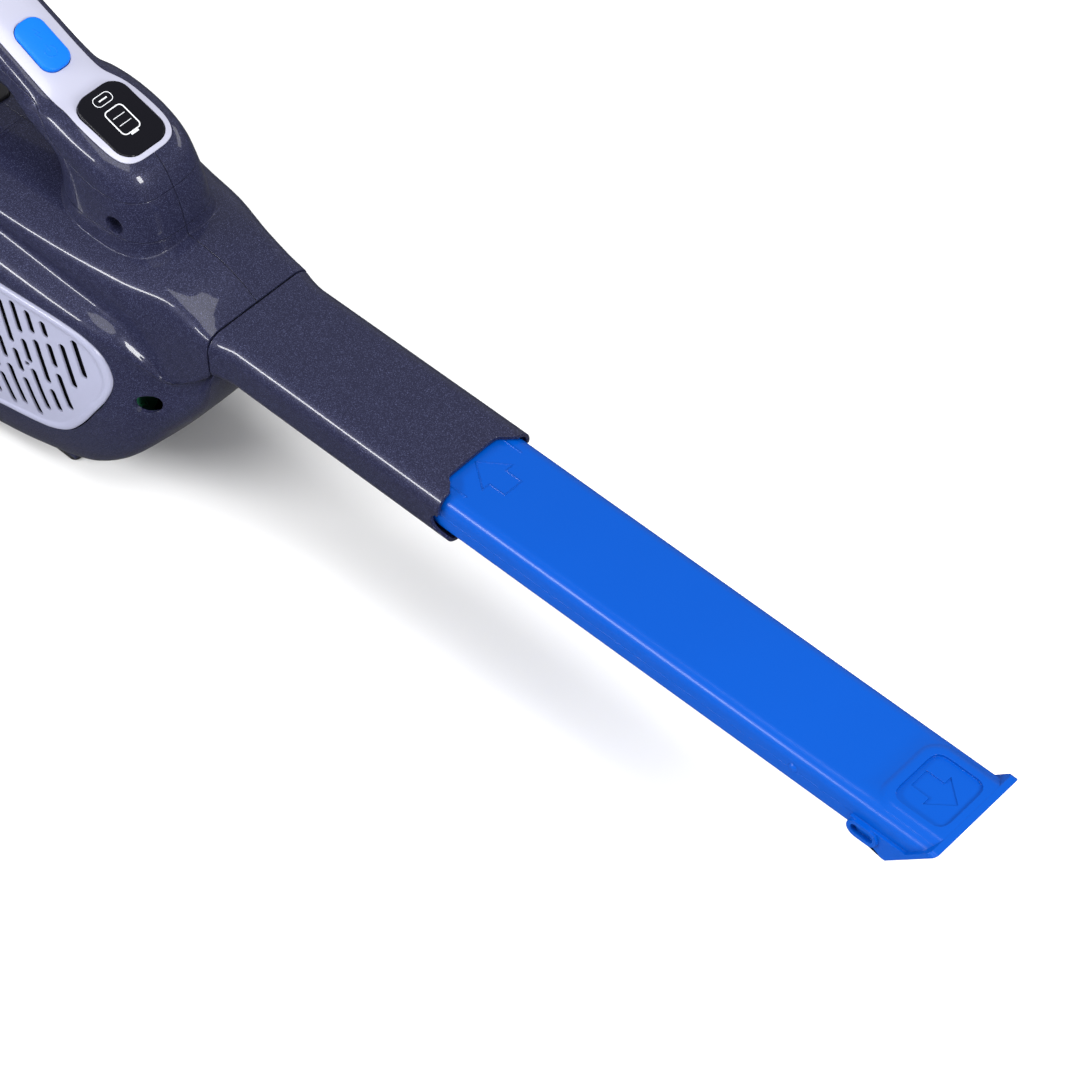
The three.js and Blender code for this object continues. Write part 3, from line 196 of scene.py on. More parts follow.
def smoke_plastic(name):
    made, tree, shader = material(name, (0.42, 0.45, 0.55), 0.08, transmission=0.92, ior=1.3)
    rough = ranged(tree, noise(tree, 40.0, 3.0), To_Min=0.05, To_Max=0.13)
    link(tree, rough, shader.inputs["Roughness"])
    return made


SLATE = flake_paint("slate_gloss", (0.014, 0.015, 0.040), (0.09, 0.10, 0.20), 0.16)
LILAC = plastic("lilac_satin", (0.44, 0.445, 0.56), 0.34, grain=0.12, coat=0.35)
BLUE = plastic("tool_blue", (0.0, 0.070, 0.42), 0.24, grain=0.06, specular=0.2)
BUTTON_BLUE = plastic("button_blue", (0.0, 0.16, 0.78), 0.42, specular=0.2)
BLACK = plastic("black_plastic", (0.012, 0.012, 0.015), 0.5)
RUBBER = plastic("black_rubber", (0.014, 0.014, 0.016), 0.75, grain=0.6)
GRILLE_SATIN = plastic("grille_satin", (0.31, 0.32, 0.44), 0.34, grain=0.12, coat=0.35)
# near-black painted shade: stands for the shadow behind the grille's slots and in the nozzle's joint
PAINTED_SHADE = plastic("grille_shadow", (0.004, 0.004, 0.006), 0.9, specular=0.05)
WINDOW = plastic("window_gloss", (0.004, 0.004, 0.007), 0.06, grain=0.0, specular=0.2)
PRINT = plastic("white_print", (0.82, 0.84, 0.88), 0.5, edge_mm=0)
BOARD = plastic("board_green", (0.02, 0.14, 0.06), 0.4)
WRAP = plastic("cell_sleeve", (0.05, 0.30, 0.16), 0.35)
PAPER = plastic("filter_paper", (0.78, 0.78, 0.74), 0.9, grain=0.8)
LEAD_RED = plastic("lead_red", (0.45, 0.02, 0.02), 0.5)
LEAD_BLACK = plastic("lead_black", (0.012, 0.012, 0.012), 0.5)
STEEL = metal("brushed_steel", (0.55, 0.56, 0.58), 0.32)
BRASS = metal("brass", (0.72, 0.50, 0.18), 0.3)
COPPER = metal("copper_iron", (0.46, 0.22, 0.12), 0.4)
SMOKE = smoke_plastic("smoke_plastic")

BY_SLOT = {
    "slate_shell": SLATE, "lilac_trim": LILAC, "tool_blue": BLUE, "button_blue": BUTTON_BLUE,
    "window_black": WINDOW, "black_plastic": BLACK, "rubber": RUBBER, "clear_bowl": SMOKE, "steel": STEEL,
    "brass": BRASS, "copper_iron": COPPER, "board_green": BOARD, "cell_wrap": WRAP, "filter_paper": PAPER,
    "lead_black": LEAD_BLACK, "lead_red": LEAD_RED,
}
SLOT_OF = {row["node"]: row["material_slot"] for row in frame["record"]["subparts"]}
BODY_OF = {name: body for body, names in frame["record"]["behaviour"]["bodies"].items() for name in names}


# ---------------------------------------------------------------- meshes
def new_object(name, data):
    made = bpy.data.objects.new(name, data)
    bpy.context.scene.collection.objects.link(made)
    return made


def loft(name, rings, caps=True):
    """A skin over closed rings of design-frame points, with flat ends."""
    bm = bmesh.new()
    rows = [[bm.verts.new(at(*p)) for p in ring] for ring in rings]
    count = len(rings[0])
    for a, b in zip(rows, rows[1:]):
        for i in range(count):
            bm.faces.new((a[i], a[(i + 1) % count], b[(i + 1) % count], b[i]))
    ends = [bm.faces.new(row) for row in (rows[0][::-1], rows[-1])] if caps else []
    bmesh.ops.triangulate(bm, faces=ends)
    bmesh.ops.recalc_face_normals(bm, faces=bm.faces)
    mesh = bpy.data.meshes.new(name)
    bm.to_mesh(mesh)
    bm.free()
    return new_object(name, mesh)


def prism(name, outline, axis, low, high):
    """An outline of (x, z) pushed out along Y, or of (x, y) pushed out along Z."""
    if axis == "y":
        return loft(name, [[(a, end, b) for a, b in outline] for end in (low, high)])
    return loft(name, [[(a, b, end) for a, b in outline] for end in (low, high)])


def evaluated_mesh(source):
    graph = bpy.context.evaluated_depsgraph_get()
    return bpy.data.meshes.new_from_object(source.evaluated_get(graph))


def bake(target):
    mesh = evaluated_mesh(target)
    target.modifiers.clear()
    target.data = mesh
    return target


def combine(target, cutter, operation="DIFFERENCE", own=False):
    """Cuts or joins two closed meshes and drops the second one.

    `own` makes the solver work out where a mesh touches or crosses itself; without it such cuts
    leave stray faces or lose parts.
    """
    cut = target.modifiers.new("cut", "BOOLEAN")
    cut.object = cutter
    cut.operation = operation
    cut.solver = "EXACT"
    cut.use_self = own
    bake(target)
    bpy.data.objects.remove(cutter)
    return target


def copy_of(source, name):
    return new_object(name, source.data.copy())


def join(name, pieces):
    bm = bmesh.new()
    for piece in pieces:
        bm.from_mesh(piece.data)
        bpy.data.objects.remove(piece)
    mesh = bpy.data.meshes.new(name)
    bm.to_mesh(mesh)
    bm.free()
    return new_object(name, mesh)


def half_of(source, name, side):
    """The part of a closed mesh on one side of the middle plane, closed again."""
    made = copy_of(source, name)
    bm = bmesh.new()
    bm.from_mesh(made.data)
    plane = Vector((0, side * SEAM / 1000, 0))
    geometry = bm.verts[:] + bm.edges[:] + bm.faces[:]
    cut = bmesh.ops.bisect_plane(bm, geom=geometry, plane_co=plane, plane_no=(0, -side, 0),
                                 clear_outer=True)
    edges = [e for e in cut["geom_cut"] if isinstance(e, bmesh.types.BMEdge)]
    bmesh.ops.holes_fill(bm, edges=edges, sides=0)
    bm.to_mesh(made.data)
    bm.free()
    return made


def show(piece, nodes, look=None, angle=32.0, bevel=0.0):
    """Gives a piece its look and lets it ride with its body.

    Without a look of its own it takes its slot's look and stands for its CAD nodes.
    """
    if bevel:
        round_off = piece.modifiers.new("edges", "BEVEL")
        round_off.width = bevel / 1000
        round_off.segments = 2
        round_off.limit_method = "ANGLE"
        round_off.angle_limit = math.radians(35)
        bake(piece)
    piece.data.materials.clear()
    piece.data.materials.append(look or BY_SLOT[SLOT_OF[nodes[0]]])
    piece.data.shade_smooth()
    piece.data.set_sharp_from_angle(angle=math.radians(angle))
    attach(piece, BODY_OF[nodes[0]])
    if not look:
        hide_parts(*nodes)
    return piece


def tube(name, points, radius, closed=False):
    curve = bpy.data.curves.new(name, "CURVE")
    curve.dimensions = "3D"
    curve.bevel_depth = radius / 1000
    curve.bevel_resolution = 2
    line = curve.splines.new("POLY")
    line.points.add(len(points) - 1)
    for dot, p in zip(line.points, points):
        dot.co = (*at(*p), 1)
    line.use_cyclic_u = closed
    curve.use_fill_caps = not closed
    made = new_object(name, curve)
    mesh = evaluated_mesh(made)
    bpy.data.objects.remove(made)
    return new_object(name, mesh)


# ---------------------------------------------------------------- curves
def spans(low, high, count):
    return [low + (high - low) * i / count for i in range(count + 1)]


def sided(side, near, far):
    """The low and high Y of a stretch between two distances from the middle, on one side."""
    return sorted((side * near, side * far))


def arc(cx, cz, radius, start, end, count):
    return [(cx + radius * math.cos(a), cz + radius * math.sin(a)) for a in spans(start, end, count)]


def circle(cx, cz, radius, count):
    return arc(cx, cz, radius, 0, 2 * math.pi, count)[:-1]


def rail(*knots):
    """A smooth value along falling x through (x, value) knots; it never overshoots."""
    def slope(i):
        return (knots[i + 1][1] - knots[i][1]) / (knots[i + 1][0] - knots[i][0])

    def tangent(i):
        if i == 0 or i == len(knots) - 1:
            return slope(min(i, len(knots) - 2))
        a, b = slope(i - 1), slope(i)
        return 0 if a * b <= 0 else 2 * a * b / (a + b)

    def value(x):
        x = min(max(x, knots[-1][0]), knots[0][0])
        i = next(k for k in range(len(knots) - 1) if x >= knots[k + 1][0])
        span = knots[i + 1][0] - knots[i][0]
        t = (x - knots[i][0]) / span
        return ((2 * t**3 - 3 * t**2 + 1) * knots[i][1] + (t**3 - 2 * t**2 + t) * span * tangent(i)
                + (3 * t**2 - 2 * t**3) * knots[i + 1][1] + (t**3 - t**2) * span * tangent(i + 1))

    return value


def spline(points, per_span, closed=False):
    """Catmull-Rom through points, which are tuples of any length."""
    count = len(points)
    pick = (lambda i: points[i % count]) if closed else (lambda i: points[min(max(i, 0), count - 1)])
    made = []
    for i in range(count if closed else count - 1):
        p0, p1, p2, p3 = pick(i - 1), pick(i), pick(i + 1), pick(i + 2)
        for k in range(per_span):
            t = k / per_span
            made.append(tuple(
                0.5 * (2 * b + (c - a) * t + (2 * a - 5 * b + 4 * c - d) * t * t
                       + (3 * b - a - 3 * c + d) * t**3)
                for a, b, c, d in zip(p0, p1, p2, p3)))
    if not closed:
        made.append(tuple(points[-1]))
    return made


def rounded_rectangle(cx, cy, width, height, radius, steps=8):
    made = []
    for k, (sx, sy) in enumerate(((1, 1), (-1, 1), (-1, -1), (1, -1))):
        for turn in spans(0, math.pi / 2, steps):
            angle = turn + k * math.pi / 2
            made.append((cx + sx * (width / 2 - radius) + radius * math.cos(angle),
                         cy + sy * (height / 2 - radius) + radius * math.sin(angle)))
    return made


def sloping(place, u, v, w):
    """A point on a sloping face: u along it, v to the left, w out of it; place is (x, z, tilt)."""
    x, z, tilt = place
    s, c = math.sin(math.radians(tilt)), math.cos(math.radians(tilt))
    return (x + u * c + w * s, v, z - u * s + w * c)


def sloping_pad(name, place, length, width, radius, low, high, edge=0.5, crown=0.0):
    """A rounded plate on a sloping face with a rounded upper edge and a slightly domed top."""
    def ring(inset, w):
        outline = rounded_rectangle(0, 0, length - 2 * inset, width - 2 * inset, max(radius - inset, 0.2))
        return [sloping(place, u, v, w) for u, v in outline]

    rings = [ring(0, low), ring(0, high - edge)]
    for a in spans(0, math.pi / 2, 5)[1:]:
        rings.append(ring(edge * (1 - math.cos(a)), high - edge * (1 - math.sin(a))))
    reach = min(length, width) / 2 - edge - 0.6
    for k in (1, 2, 3, 4):
        rings.append(ring(edge + k * reach / 4, high + crown * (1 - (1 - k / 4) ** 2)))
    return loft(name, rings)


# ---------------------------------------------------------------- housing outline
CROWN_Z = rail((0, 11.5), (-9, 17), (-20, 20.8), (-34, 22.3), (-128, 22.3), (-235, 20), (-269, 17))
SHOULDER_Y = rail((0, 21.4), (-18, 25), (-47, 30), (-104, 34), (-160, 33), (-269, 24))
SHOULDER_Z = rail((0, 11.3), (-18, 15), (-47, 17), (-104, 16.6), (-269, 15))
CREASE_Y = rail((0, 26.2), (-22, 29), (-40, 33), (-70, 36), (-105, 37.5), (-128, 38), (-269, 28))
CREASE_Z = rail((0, -7), (-10, -16), (-22, -23), (-30, -13), (-42, -3), (-70, 3), (-105, 7), (-128, 8))
FLANK_SHARE = rail((0, 0.2), (-30, 0.42), (-269, 0.42))
POD_Y = rail((0, 26.2), (-10, 27.4), (-22, 30.8), (-30, 36.8), (-38, 41.8), (-50, 45.6),
             (-70, 48.8), (-105, 51.9), (-140, 54.8), (-190, 55), (-246, 50))
KEEL_Z = rail((0, -11.5), (-4, -25), (-10, -39), (-20, -54), (-30, -68), (-45, -84),
              (-60, -93.6), (-80, -99.4), (-105, -104.3), (-128, -106), (-246, -106))
PER_SPAN = 6
WIDEST = 54.8


def half_outline(x, inset=0.0):
    """Half of the housing's section at x, from the top middle over the left side to the bottom middle."""
    crown = CROWN_Z(x) - inset
    shoulder = (SHOULDER_Y(x) - 0.5 * inset, SHOULDER_Z(x) - inset)
    crease = (CREASE_Y(x) - inset, CREASE_Z(x))
    pod, keel = POD_Y(x) - inset, KEEL_Z(x) + inset
    drop = CREASE_Z(x) - KEEL_Z(x)
    corner = min(14, 0.3 * drop)
    flank_z = shoulder[1] + FLANK_SHARE(x) * (crease[1] - shoulder[1])
    knots = [
        (0, crown), (0.6 * shoulder[0], crown - 0.3 * (crown - shoulder[1])), shoulder,
        (0.25 * shoulder[0] + 0.75 * crease[0] + 0.6, flank_z), crease,
        (crease[0] + 0.66 * (pod - crease[0]), crease[1] - 0.06 * drop),
        (pod - 2.4, crease[1] - 0.18 * drop), (pod, keel + 0.4 * drop),
        (pod - 0.35 * corner, keel + 0.4 * corner), (pod - 1.3 * corner, keel + 0.3), (0, keel)]
    return [(min(y, WIDEST - inset), z) for y, z in spline(knots, PER_SPAN)]


def clipped(outline, level, upper):
    """The part of a half outline above or below a level, resampled to the same number of points."""
    keep = [(y, z) for y, z in outline if (z >= level) == upper]
    for (y0, z0), (y1, z1) in zip(outline, outline[1:]):
        if (z0 - level) * (z1 - level) < 0 and z0 > z1:
            cross = (y0 + (y1 - y0) * (z0 - level) / (z0 - z1), level)
            keep = keep + [cross] if upper else [cross] + keep
            break
    lengths = [0.0]
    for (y0, z0), (y1, z1) in zip(keep, keep[1:]):
        lengths.append(lengths[-1] + math.hypot(y1 - y0, z1 - z0))
    made = []
    for want in spans(0, lengths[-1], len(outline) - 1):
        i = next((k for k in range(1, len(lengths)) if lengths[k] >= want - 1e-9), len(lengths) - 1)
        share = (want - lengths[i - 1]) / max(lengths[i] - lengths[i - 1], 1e-9)
        made.append(tuple(a + (b - a) * share for a, b in zip(keep[i - 1], keep[i])))
    return made


def shell_ring(x, side, outline, inner=None):
    """A closed ring for one half: the outline, then back along an inner outline or the middle plane."""
    if not inner:
        top, bottom = outline[0][1], outline[-1][1]
        inner = [(0, top + (bottom - top) * t) for t in spans(0, 1, len(outline) - 1)]
    return [(x, side * max(y, SEAM), z) for y, z in outline + inner[::-1]]


HOUSING_X = sorted({*spans(-SEAM_GAP, -6, 5), *spans(-6, -46, 28), *spans(-46, -126, 24)}, reverse=True)
WALL = 2.2
DECK_LEVEL = 13.5  # the spine's lower face, over the bowl


def pod_half(side):
    """Half of the pod: solid at both ends, hollow between them."""
    rings = []
    for x in HOUSING_X:
        hollow = -125.9 < x < -6.1
        rings.append(shell_ring(x, side, half_outline(x), half_outline(x, WALL) if hollow else None))
        if x == -6:
            rings.append(shell_ring(-6.05, side, half_outline(-6.05), half_outline(-6.05, WALL)))
    rings.append(shell_ring(-125.8, side, half_outline(-125.8), half_outline(-125.8, WALL)))
    rings += [shell_ring(x, side, half_outline(x)) for x in (-125.85, -127.6, -128)]
    return loft("pod", rings)


def spine_half(side):
    rings = [shell_ring(x, side, clipped(half_outline(x), DECK_LEVEL, True))
             for x in spans(-127.5, -269, 30)]
    rings.append([(-269.6, y * 0.985, z * 0.985 + 0.2) for _, y, z in rings[-1]])
    return loft("spine", rings)


# ---------------------------------------------------------------- handle
# outer x and z, inner x and z, half the width
HANDLE_RIBS = [
    (-35.5, 15, -94, 15, 22.5), (-36.7, 26, -93.4, 27, 22), (-39, 36, -93.2, 34, 21.6),
    (-42, 44, -94.5, 40, 21.3), (-46.5, 52, -98, 45, 21), (-55, 57.6, -103.5, 48.2, 20.8),
    (-67, 61.2, -109, 50.5, 20.2), (-79, 63.6, -114, 52.2, 18.6), (-90, 63.4, -119, 54, 16.8),
    (-101, 67.4, -124, 55.6, 16.3), (-117, 75, -132, 58, 16.2), (-140, 85.4, -147, 62.2, 16.2),
    (-166, 94, -166, 67.6, 16.3), (-196, 98, -188, 71, 16.6), (-224, 95.4, -209, 70.6, 17),
    (-248, 84, -225, 64, 17.5), (-264, 66, -235, 53, 18.2), (-271, 44, -239, 41, 19),
    (-272, 27, -240, 28, 20), (-270, 15, -240, 15, 20.5)]
HANDLE_STEPS = 6
AROUND = 64


def handle_ring(rib, inset):
    """One ring of the handle: squarer on the outer side than on the inner one."""
    ox, oz, ix, iz, half = rib
    thickness = math.hypot(ox - ix, oz - iz)
    reach = thickness / 2 - inset
    ux, uz = (ox - ix) / thickness, (oz - iz) / thickness
    made = []
    for i in range(AROUND):
        angle = 2 * math.pi * i / AROUND
        s, c = math.sin(angle), math.cos(angle)
        power = 0.62 if s > 0 else 0.86
        along = math.copysign(abs(s) ** power, s) * reach
        across = math.copysign(abs(c) ** power, c) * (half - inset)
        made.append(((ox + ix) / 2 + ux * along, -across, (oz + iz) / 2 + uz * along))
    return made


def handle_loft(name, inset, first=0):
    ribs = spline(HANDLE_RIBS, HANDLE_STEPS)[first * HANDLE_STEPS:]
    return loft(name, [handle_ring(rib, inset) for rib in ribs])


# level and flare of each ring; the first two ribs of the handle stand 11.5 apart, from z = 15
PEDESTAL = ((14, 4.5), (17, 2.8), (19.2, 1.7), (21, 0.9), (22.6, 0.4), (24.2, 0.1), (25.4, 0), (26.25, 0))
PEDESTAL_REAR = -269.4


def pedestal_half(side, front):
    """Half of a handle foot on the housing, with a fillet where it meets the deck."""
    ribs = spline(HANDLE_RIBS, HANDLE_STEPS)
    low, high = (ribs[0], ribs[HANDLE_STEPS]) if front else (ribs[-1], ribs[-1 - HANDLE_STEPS])
    rings = []
    for level, flare in PEDESTAL:
        t = (level - 15) / 11.5
        ox, ix, half = [low[k] + (high[k] - low[k]) * t for k in (0, 2, 4)]
        rings.append(handle_ring((ox, level, ix, level, half), -flare))
    if not front:
        rings = [[(max(x, PEDESTAL_REAR), y, z) for x, y, z in ring] for ring in rings]
    made = loft("pedestal", rings)
    cut = half_of(made, "pedestal_half", side)
    bpy.data.objects.remove(made)
    return cut


# the joint between the handle's base and its top, as (x, z)
SPLIT = spline([(-10, 42.4), (-20, 42.6), (-42, 43.2), (-64, 45), (-79, 50), (-92, 59.4),
                (-115, 66.6), (-148, 77.6), (-184, 84.6), (-216, 82.6), (-240, 72), (-300, 40)], 8)


def above_split(lift):
    line = [(x, z + lift) for x, z in SPLIT]
    return prism("above", [*line, (-300, 140), (-10, 140)], "y", *ACROSS)


def round_cutter(axis_x, axis_z, radius, y0, y1):
    return prism("well", circle(axis_x, axis_z, radius, 40), "y", y0, y1)


# places as (x, z, tilt), sizes as length, width and corner radius
DISPLAY, DISPLAY_SIZE = (-67.5, 60.8, 18.0), (31, 23, 7)
BUTTON, BUTTON_SIZE = (-108.9, 71.3, 25.0), (23, 13, 5)
RELEASE, RELEASE_SIZE = (-149, 22, 0), (18, 12, 3)
# x, z, Y of the head and Y of the shank's end
SCREWS = {"screw_column": (-52.6, 31.4, -16.0, 8), "screw_pod_front": (-28.2, -38.5, -27.0, 8),
          "screw_pod_rear": (-119.5, -98.4, -26.0, 6), "screw_grip": (-176, 77, -9.5, 8),
          "screw_rear_column": (-254.5, 44, -12.5, 8)}


def screw_well(name):
    x, z, head, _ = SCREWS[name]
    return round_cutter(x, z, 4.5 if "pod" in name else 3.9, ACROSS[0], head + 2.7)


def pocket(place, size, grow, low, high):
    """A cutter for the seat of a rounded plate, wider than the plate by `grow` all round."""
    length, width, radius = size
    return sloping_pad("pocket", place, length + 2 * grow, width + 2 * grow, radius + grow,
                       low, high, edge=0.01)


def window_pocket(low):
    return pocket(DISPLAY, DISPLAY_SIZE, 0.25, low, 9)


def button_pocket():
    return pocket(BUTTON, BUTTON_SIZE, 0.25, -12, 9)


# stations of the tunnel through the pod, as x, half width, half height and radius
DUCT_WAY = ((1, 23.3, 10.95, 6.3), (-6, 23.3, 10.95, 6.3), (-6.5, 24.1, 11.7, 6.6), (-129, 24.1, 11.7, 6.6))
VENT_MARGIN = 0.35


def away(value, middle):
    return value + VENT_MARGIN * ((value > middle) - (value < middle))


def build_housing():
    for name, side in SIDES:
        pod = pod_half(side)
        tunnel = loft("tunnel", [rectangle_ring(*station) for station in DUCT_WAY])
        combine(pod, tunnel, own=True)
        vent = [(away(x, GRILLE_MIDDLE[0]), away(z, GRILLE_MIDDLE[1])) for x, z in GRILLE]
        combine(pod, prism("vent", vent, "y", *sided(side, *FLANK_CUT)))
        if side < 0:
            combine(pod, screw_well("screw_pod_front"))
            combine(pod, screw_well("screw_pod_rear"))
        spine = combine(spine_half(side), pocket(RELEASE, RELEASE_SIZE, 0.3, -9.5, 9))
        parts = [pod, spine, pedestal_half(side, True), pedestal_half(side, False), foot_post(side)]
        show(join(f"housing_{name}_skin", parts), [f"housing_{name}"], angle=38)


def foot_post(side):
    outline = [(-101, -88), (-99.6, -107.2), (-76.4, -107.2), (-74, -88)]
    return prism("foot_post", outline, "y", side * FOOT_Y - 4.5, side * FOOT_Y + 4.5)


# one half of the inlay's outline as (x, y)
INLAY_HALF = spline([(-50.6, 0), (-50.9, 6.6), (-52.8, 11), (-57, 13.5), (-64, 14.3), (-76, 14),
                     (-86, 12.6), (-96, 11.8), (-120, 11.6), (-205, 11.7), (-232, 10.8), (-240, 7),
                     (-242.5, 0)], 8)


def inlay_prism(grow):
    left = [(x + (grow if x > -50 else -grow if x < -240 else 0), y + grow) for x, y in INLAY_HALF]
    outline = left + [(x, -y) for x, y in left[::-1]]
    return prism("inlay_prism", outline, "z", 50, 140)


def build_handle():
    whole = handle_loft("handle", 0, 1)
    seat = prism("seat", [(-300, 26.55), (0, 26.55), (0, -20), (-300, -20)], "y", *ACROSS)
    combine(whole, seat)
    top = combine(copy_of(whole, "top"), above_split(0.12), "INTERSECT")
    base = combine(copy_of(whole, "base"), above_split(-0.12))
    bpy.data.objects.remove(whole)
    recess = combine(handle_loft("recess", -1), handle_loft("recess_floor", 1.5))
    recess = combine(recess, above_split(1.6), "INTERSECT")
    recess = combine(recess, inlay_prism(0.2), "INTERSECT")
    combine(top, recess)
    combine(top, window_pocket(-2.1))
    combine(top, button_pocket())
    combine(base, button_pocket())
    for name, side in SIDES:
        show(half_of(top, f"handle_top_{name}_skin", side), [f"handle_top_{name}"], angle=38)
        half = half_of(base, f"handle_base_{name}_skin", side)
        if side < 0:
            for screw in ("screw_column", "screw_grip", "screw_rear_column"):
                combine(half, screw_well(screw))
        show(half, [f"handle_base_{name}"], angle=38)
    bpy.data.objects.remove(top)
    bpy.data.objects.remove(base)
    inlay = combine(handle_loft("handle_inlay_skin", -0.2), inlay_prism(0), "INTERSECT")
    combine(inlay, above_split(2), "INTERSECT")
    combine(inlay, handle_loft("inlay_floor", 1.2))
    combine(inlay, window_pocket(-9))
    combine(inlay, button_pocket())
    show(inlay, ["handle_inlay"], angle=40)


# ---------------------------------------------------------------- display and button
def icon_line(points, radius=0.2, closed=False, place=DISPLAY, level=0.5):
    return tube("line", [sloping(place, u, v, level) for u, v in points], radius, closed)


def build_display():
    """The window with a battery sign and a plain badge on it, and the board below."""
    glass = sloping_pad("display_window_glass", DISPLAY, *DISPLAY_SIZE, -1.6, 0.5, edge=0.45)
    show(glass, ["display_window"])
    lines = [icon_line(rounded_rectangle(0.6, 0, 11.8, 8.4, 1.8), 0.26, True)]
    lines += [icon_line([(u, -2.8), (u, 2.8)], 0.15) for u in (-1.4, 2.2)]
    lines += [icon_line([(7.3, -1.7), (7.3, 1.7)], 0.42)]
    lines += [icon_line(rounded_rectangle(-10.2, 0, 4.3, 8.1, 1.9), 0.15, True)]
    lines += [icon_line([(-10.2, -1.9), (-10.2, 1.9)], 0.3)]
    show(join("display_icons", lines), ["display_window"], look=PRINT)
    show(sloping_pad("control_board_plate", DISPLAY, 22, 20, 2, -9, -7.4, edge=0.1), ["control_board"])


def build_button():
    cap = sloping_pad("cap", BUTTON, *BUTTON_SIZE, -3.6, 1.7, edge=0.9, crown=0.25)
    stem = sloping_pad("stem", BUTTON, 4, 4, 1, -7, -3.4, edge=0.2)
    ring = arc(4.3, 0, 2.3, math.radians(215), math.radians(505), 24)
    bolt = [(-6.4, 0.4), (-3.8, 1.5), (-4.4, -0.3), (-1.6, 0.6)]
    lines = [icon_line(line, 0.16, False, BUTTON, 1.84) for line in (ring, [(4.3, 0), (1.2, 0)], bolt)]
    show(join("power_button_cap", [cap, stem, *lines]), ["power_button"], angle=45)


# ---------------------------------------------------------------- duct line
def rectangle_ring(x, half_width, half_height, radius, steps=10):
    return [(x, y, z) for y, z in rounded_rectangle(0, 0, 2 * half_width, 2 * half_height, radius, steps)]


def build_nozzle():
    root = [(x, ((11 - x) / 11) ** 1.6) for x in spans(11, 0.15, 8)]
    outer = [(x, 0) for x in (119, 100, 70, 40)] + root
    rings = [rectangle_ring(x, 24 + 2.2 * flare, 11.5, 7) for x, flare in outer]
    rings += [rectangle_ring(0.0, 25.9, 11.2, 6.7), rectangle_ring(0, 23, 10.75, 6.2),
              rectangle_ring(-14, 23, 10.75, 6.2)]
    blank = loft("nozzle_tube", rings)
    bore = loft("bore", [rectangle_ring(120, 22.5, 10, 5.5), rectangle_ring(0, 22.5, 10, 5.5),
                         rectangle_ring(-1, 22.1, 9.85, 5.3), rectangle_ring(-15, 22.1, 9.85, 5.3)])
    combine(blank, bore)
    side = spline([(115, 30), (115, 5), (113.6, 2.6), (112, 0.6), (111.4, -2), (112.4, -4.6),
                   (115, -6.4), (118, -7.4), (119, -9), (119, -30)], 6)
    combine(blank, prism("mouth", [*side, (140, -30), (140, 30)], "y", -40, 40))
    half = [(130, 20), (116.4, 17.8), (113.8, 16.2), (112.2, 14.4), (110.4, 13), (109.6, 10.4)]
    notch = spline([*half, (109.5, 0), *[(x, -y) for x, y in half[::-1]]], 6)
    combine(blank, prism("notch", notch, "z", 3, 20))
    show(blank, ["nozzle"], angle=38)
    # a near-black band in the joint to the housing: painted shade for the shadow in the gap
    shadow = loft("nozzle_seam_painted_shade", [rectangle_ring(x, 23.9, 11.15, 6.7) for x in (-0.15, -0.6)])
    combine(shadow, loft("bore", [rectangle_ring(x, 22.6, 10.4, 6.1) for x in (1, -2)]))
    show(shadow, ["nozzle"], look=PAINTED_SHADE)


def arrow(tip, base, head, stem_end, stem):
    return [(tip, 0), (base, head / 2), (base, stem / 2), (stem_end, stem / 2),
            (stem_end, -stem / 2), (base, -stem / 2), (base, -head / 2)]


def softened(points, radius, steps=4):
    """A closed outline with its corners cut round."""
    made = []
    for i, (x, y) in enumerate(points):
        corner = Vector((x, y))
        a = Vector(points[i - 1]) - corner
        b = Vector(points[(i + 1) % len(points)]) - corner
        reach = min(radius, a.length / 2.2, b.length / 2.2)
        p, q = corner + a.normalized() * reach, corner + b.normalized() * reach
        for t in spans(0, 1, steps):
            made.append(tuple((1 - t) ** 2 * p + 2 * t * (1 - t) * corner + t * t * q))
    return made


TOOL_HALF, TOOL_HEIGHT = 21.5, 9.25
TIP_SLANT = 20


def tool_ring(x):
    taper = 0.8 * (x - 92) / 248
    return rectangle_ring(x, TOOL_HALF - taper, TOOL_HEIGHT, 5.4, 12)


def beyond_tip(offset=0.0):
    """All that lies past the slanted mouth, or past a plane `offset` behind it."""
    top = TOOL_HEIGHT + 1.4
    rate = TIP_SLANT / (2 * top)
    high_x, low_x = TIP_X - offset + 5 * rate, TIP_X - TIP_SLANT - offset - 5 * rate
    high_z, low_z = top + 5, -top - 5
    return prism("beyond", [(high_x, high_z), (low_x, low_z), (380, low_z), (380, high_z)], "y", *ACROSS)


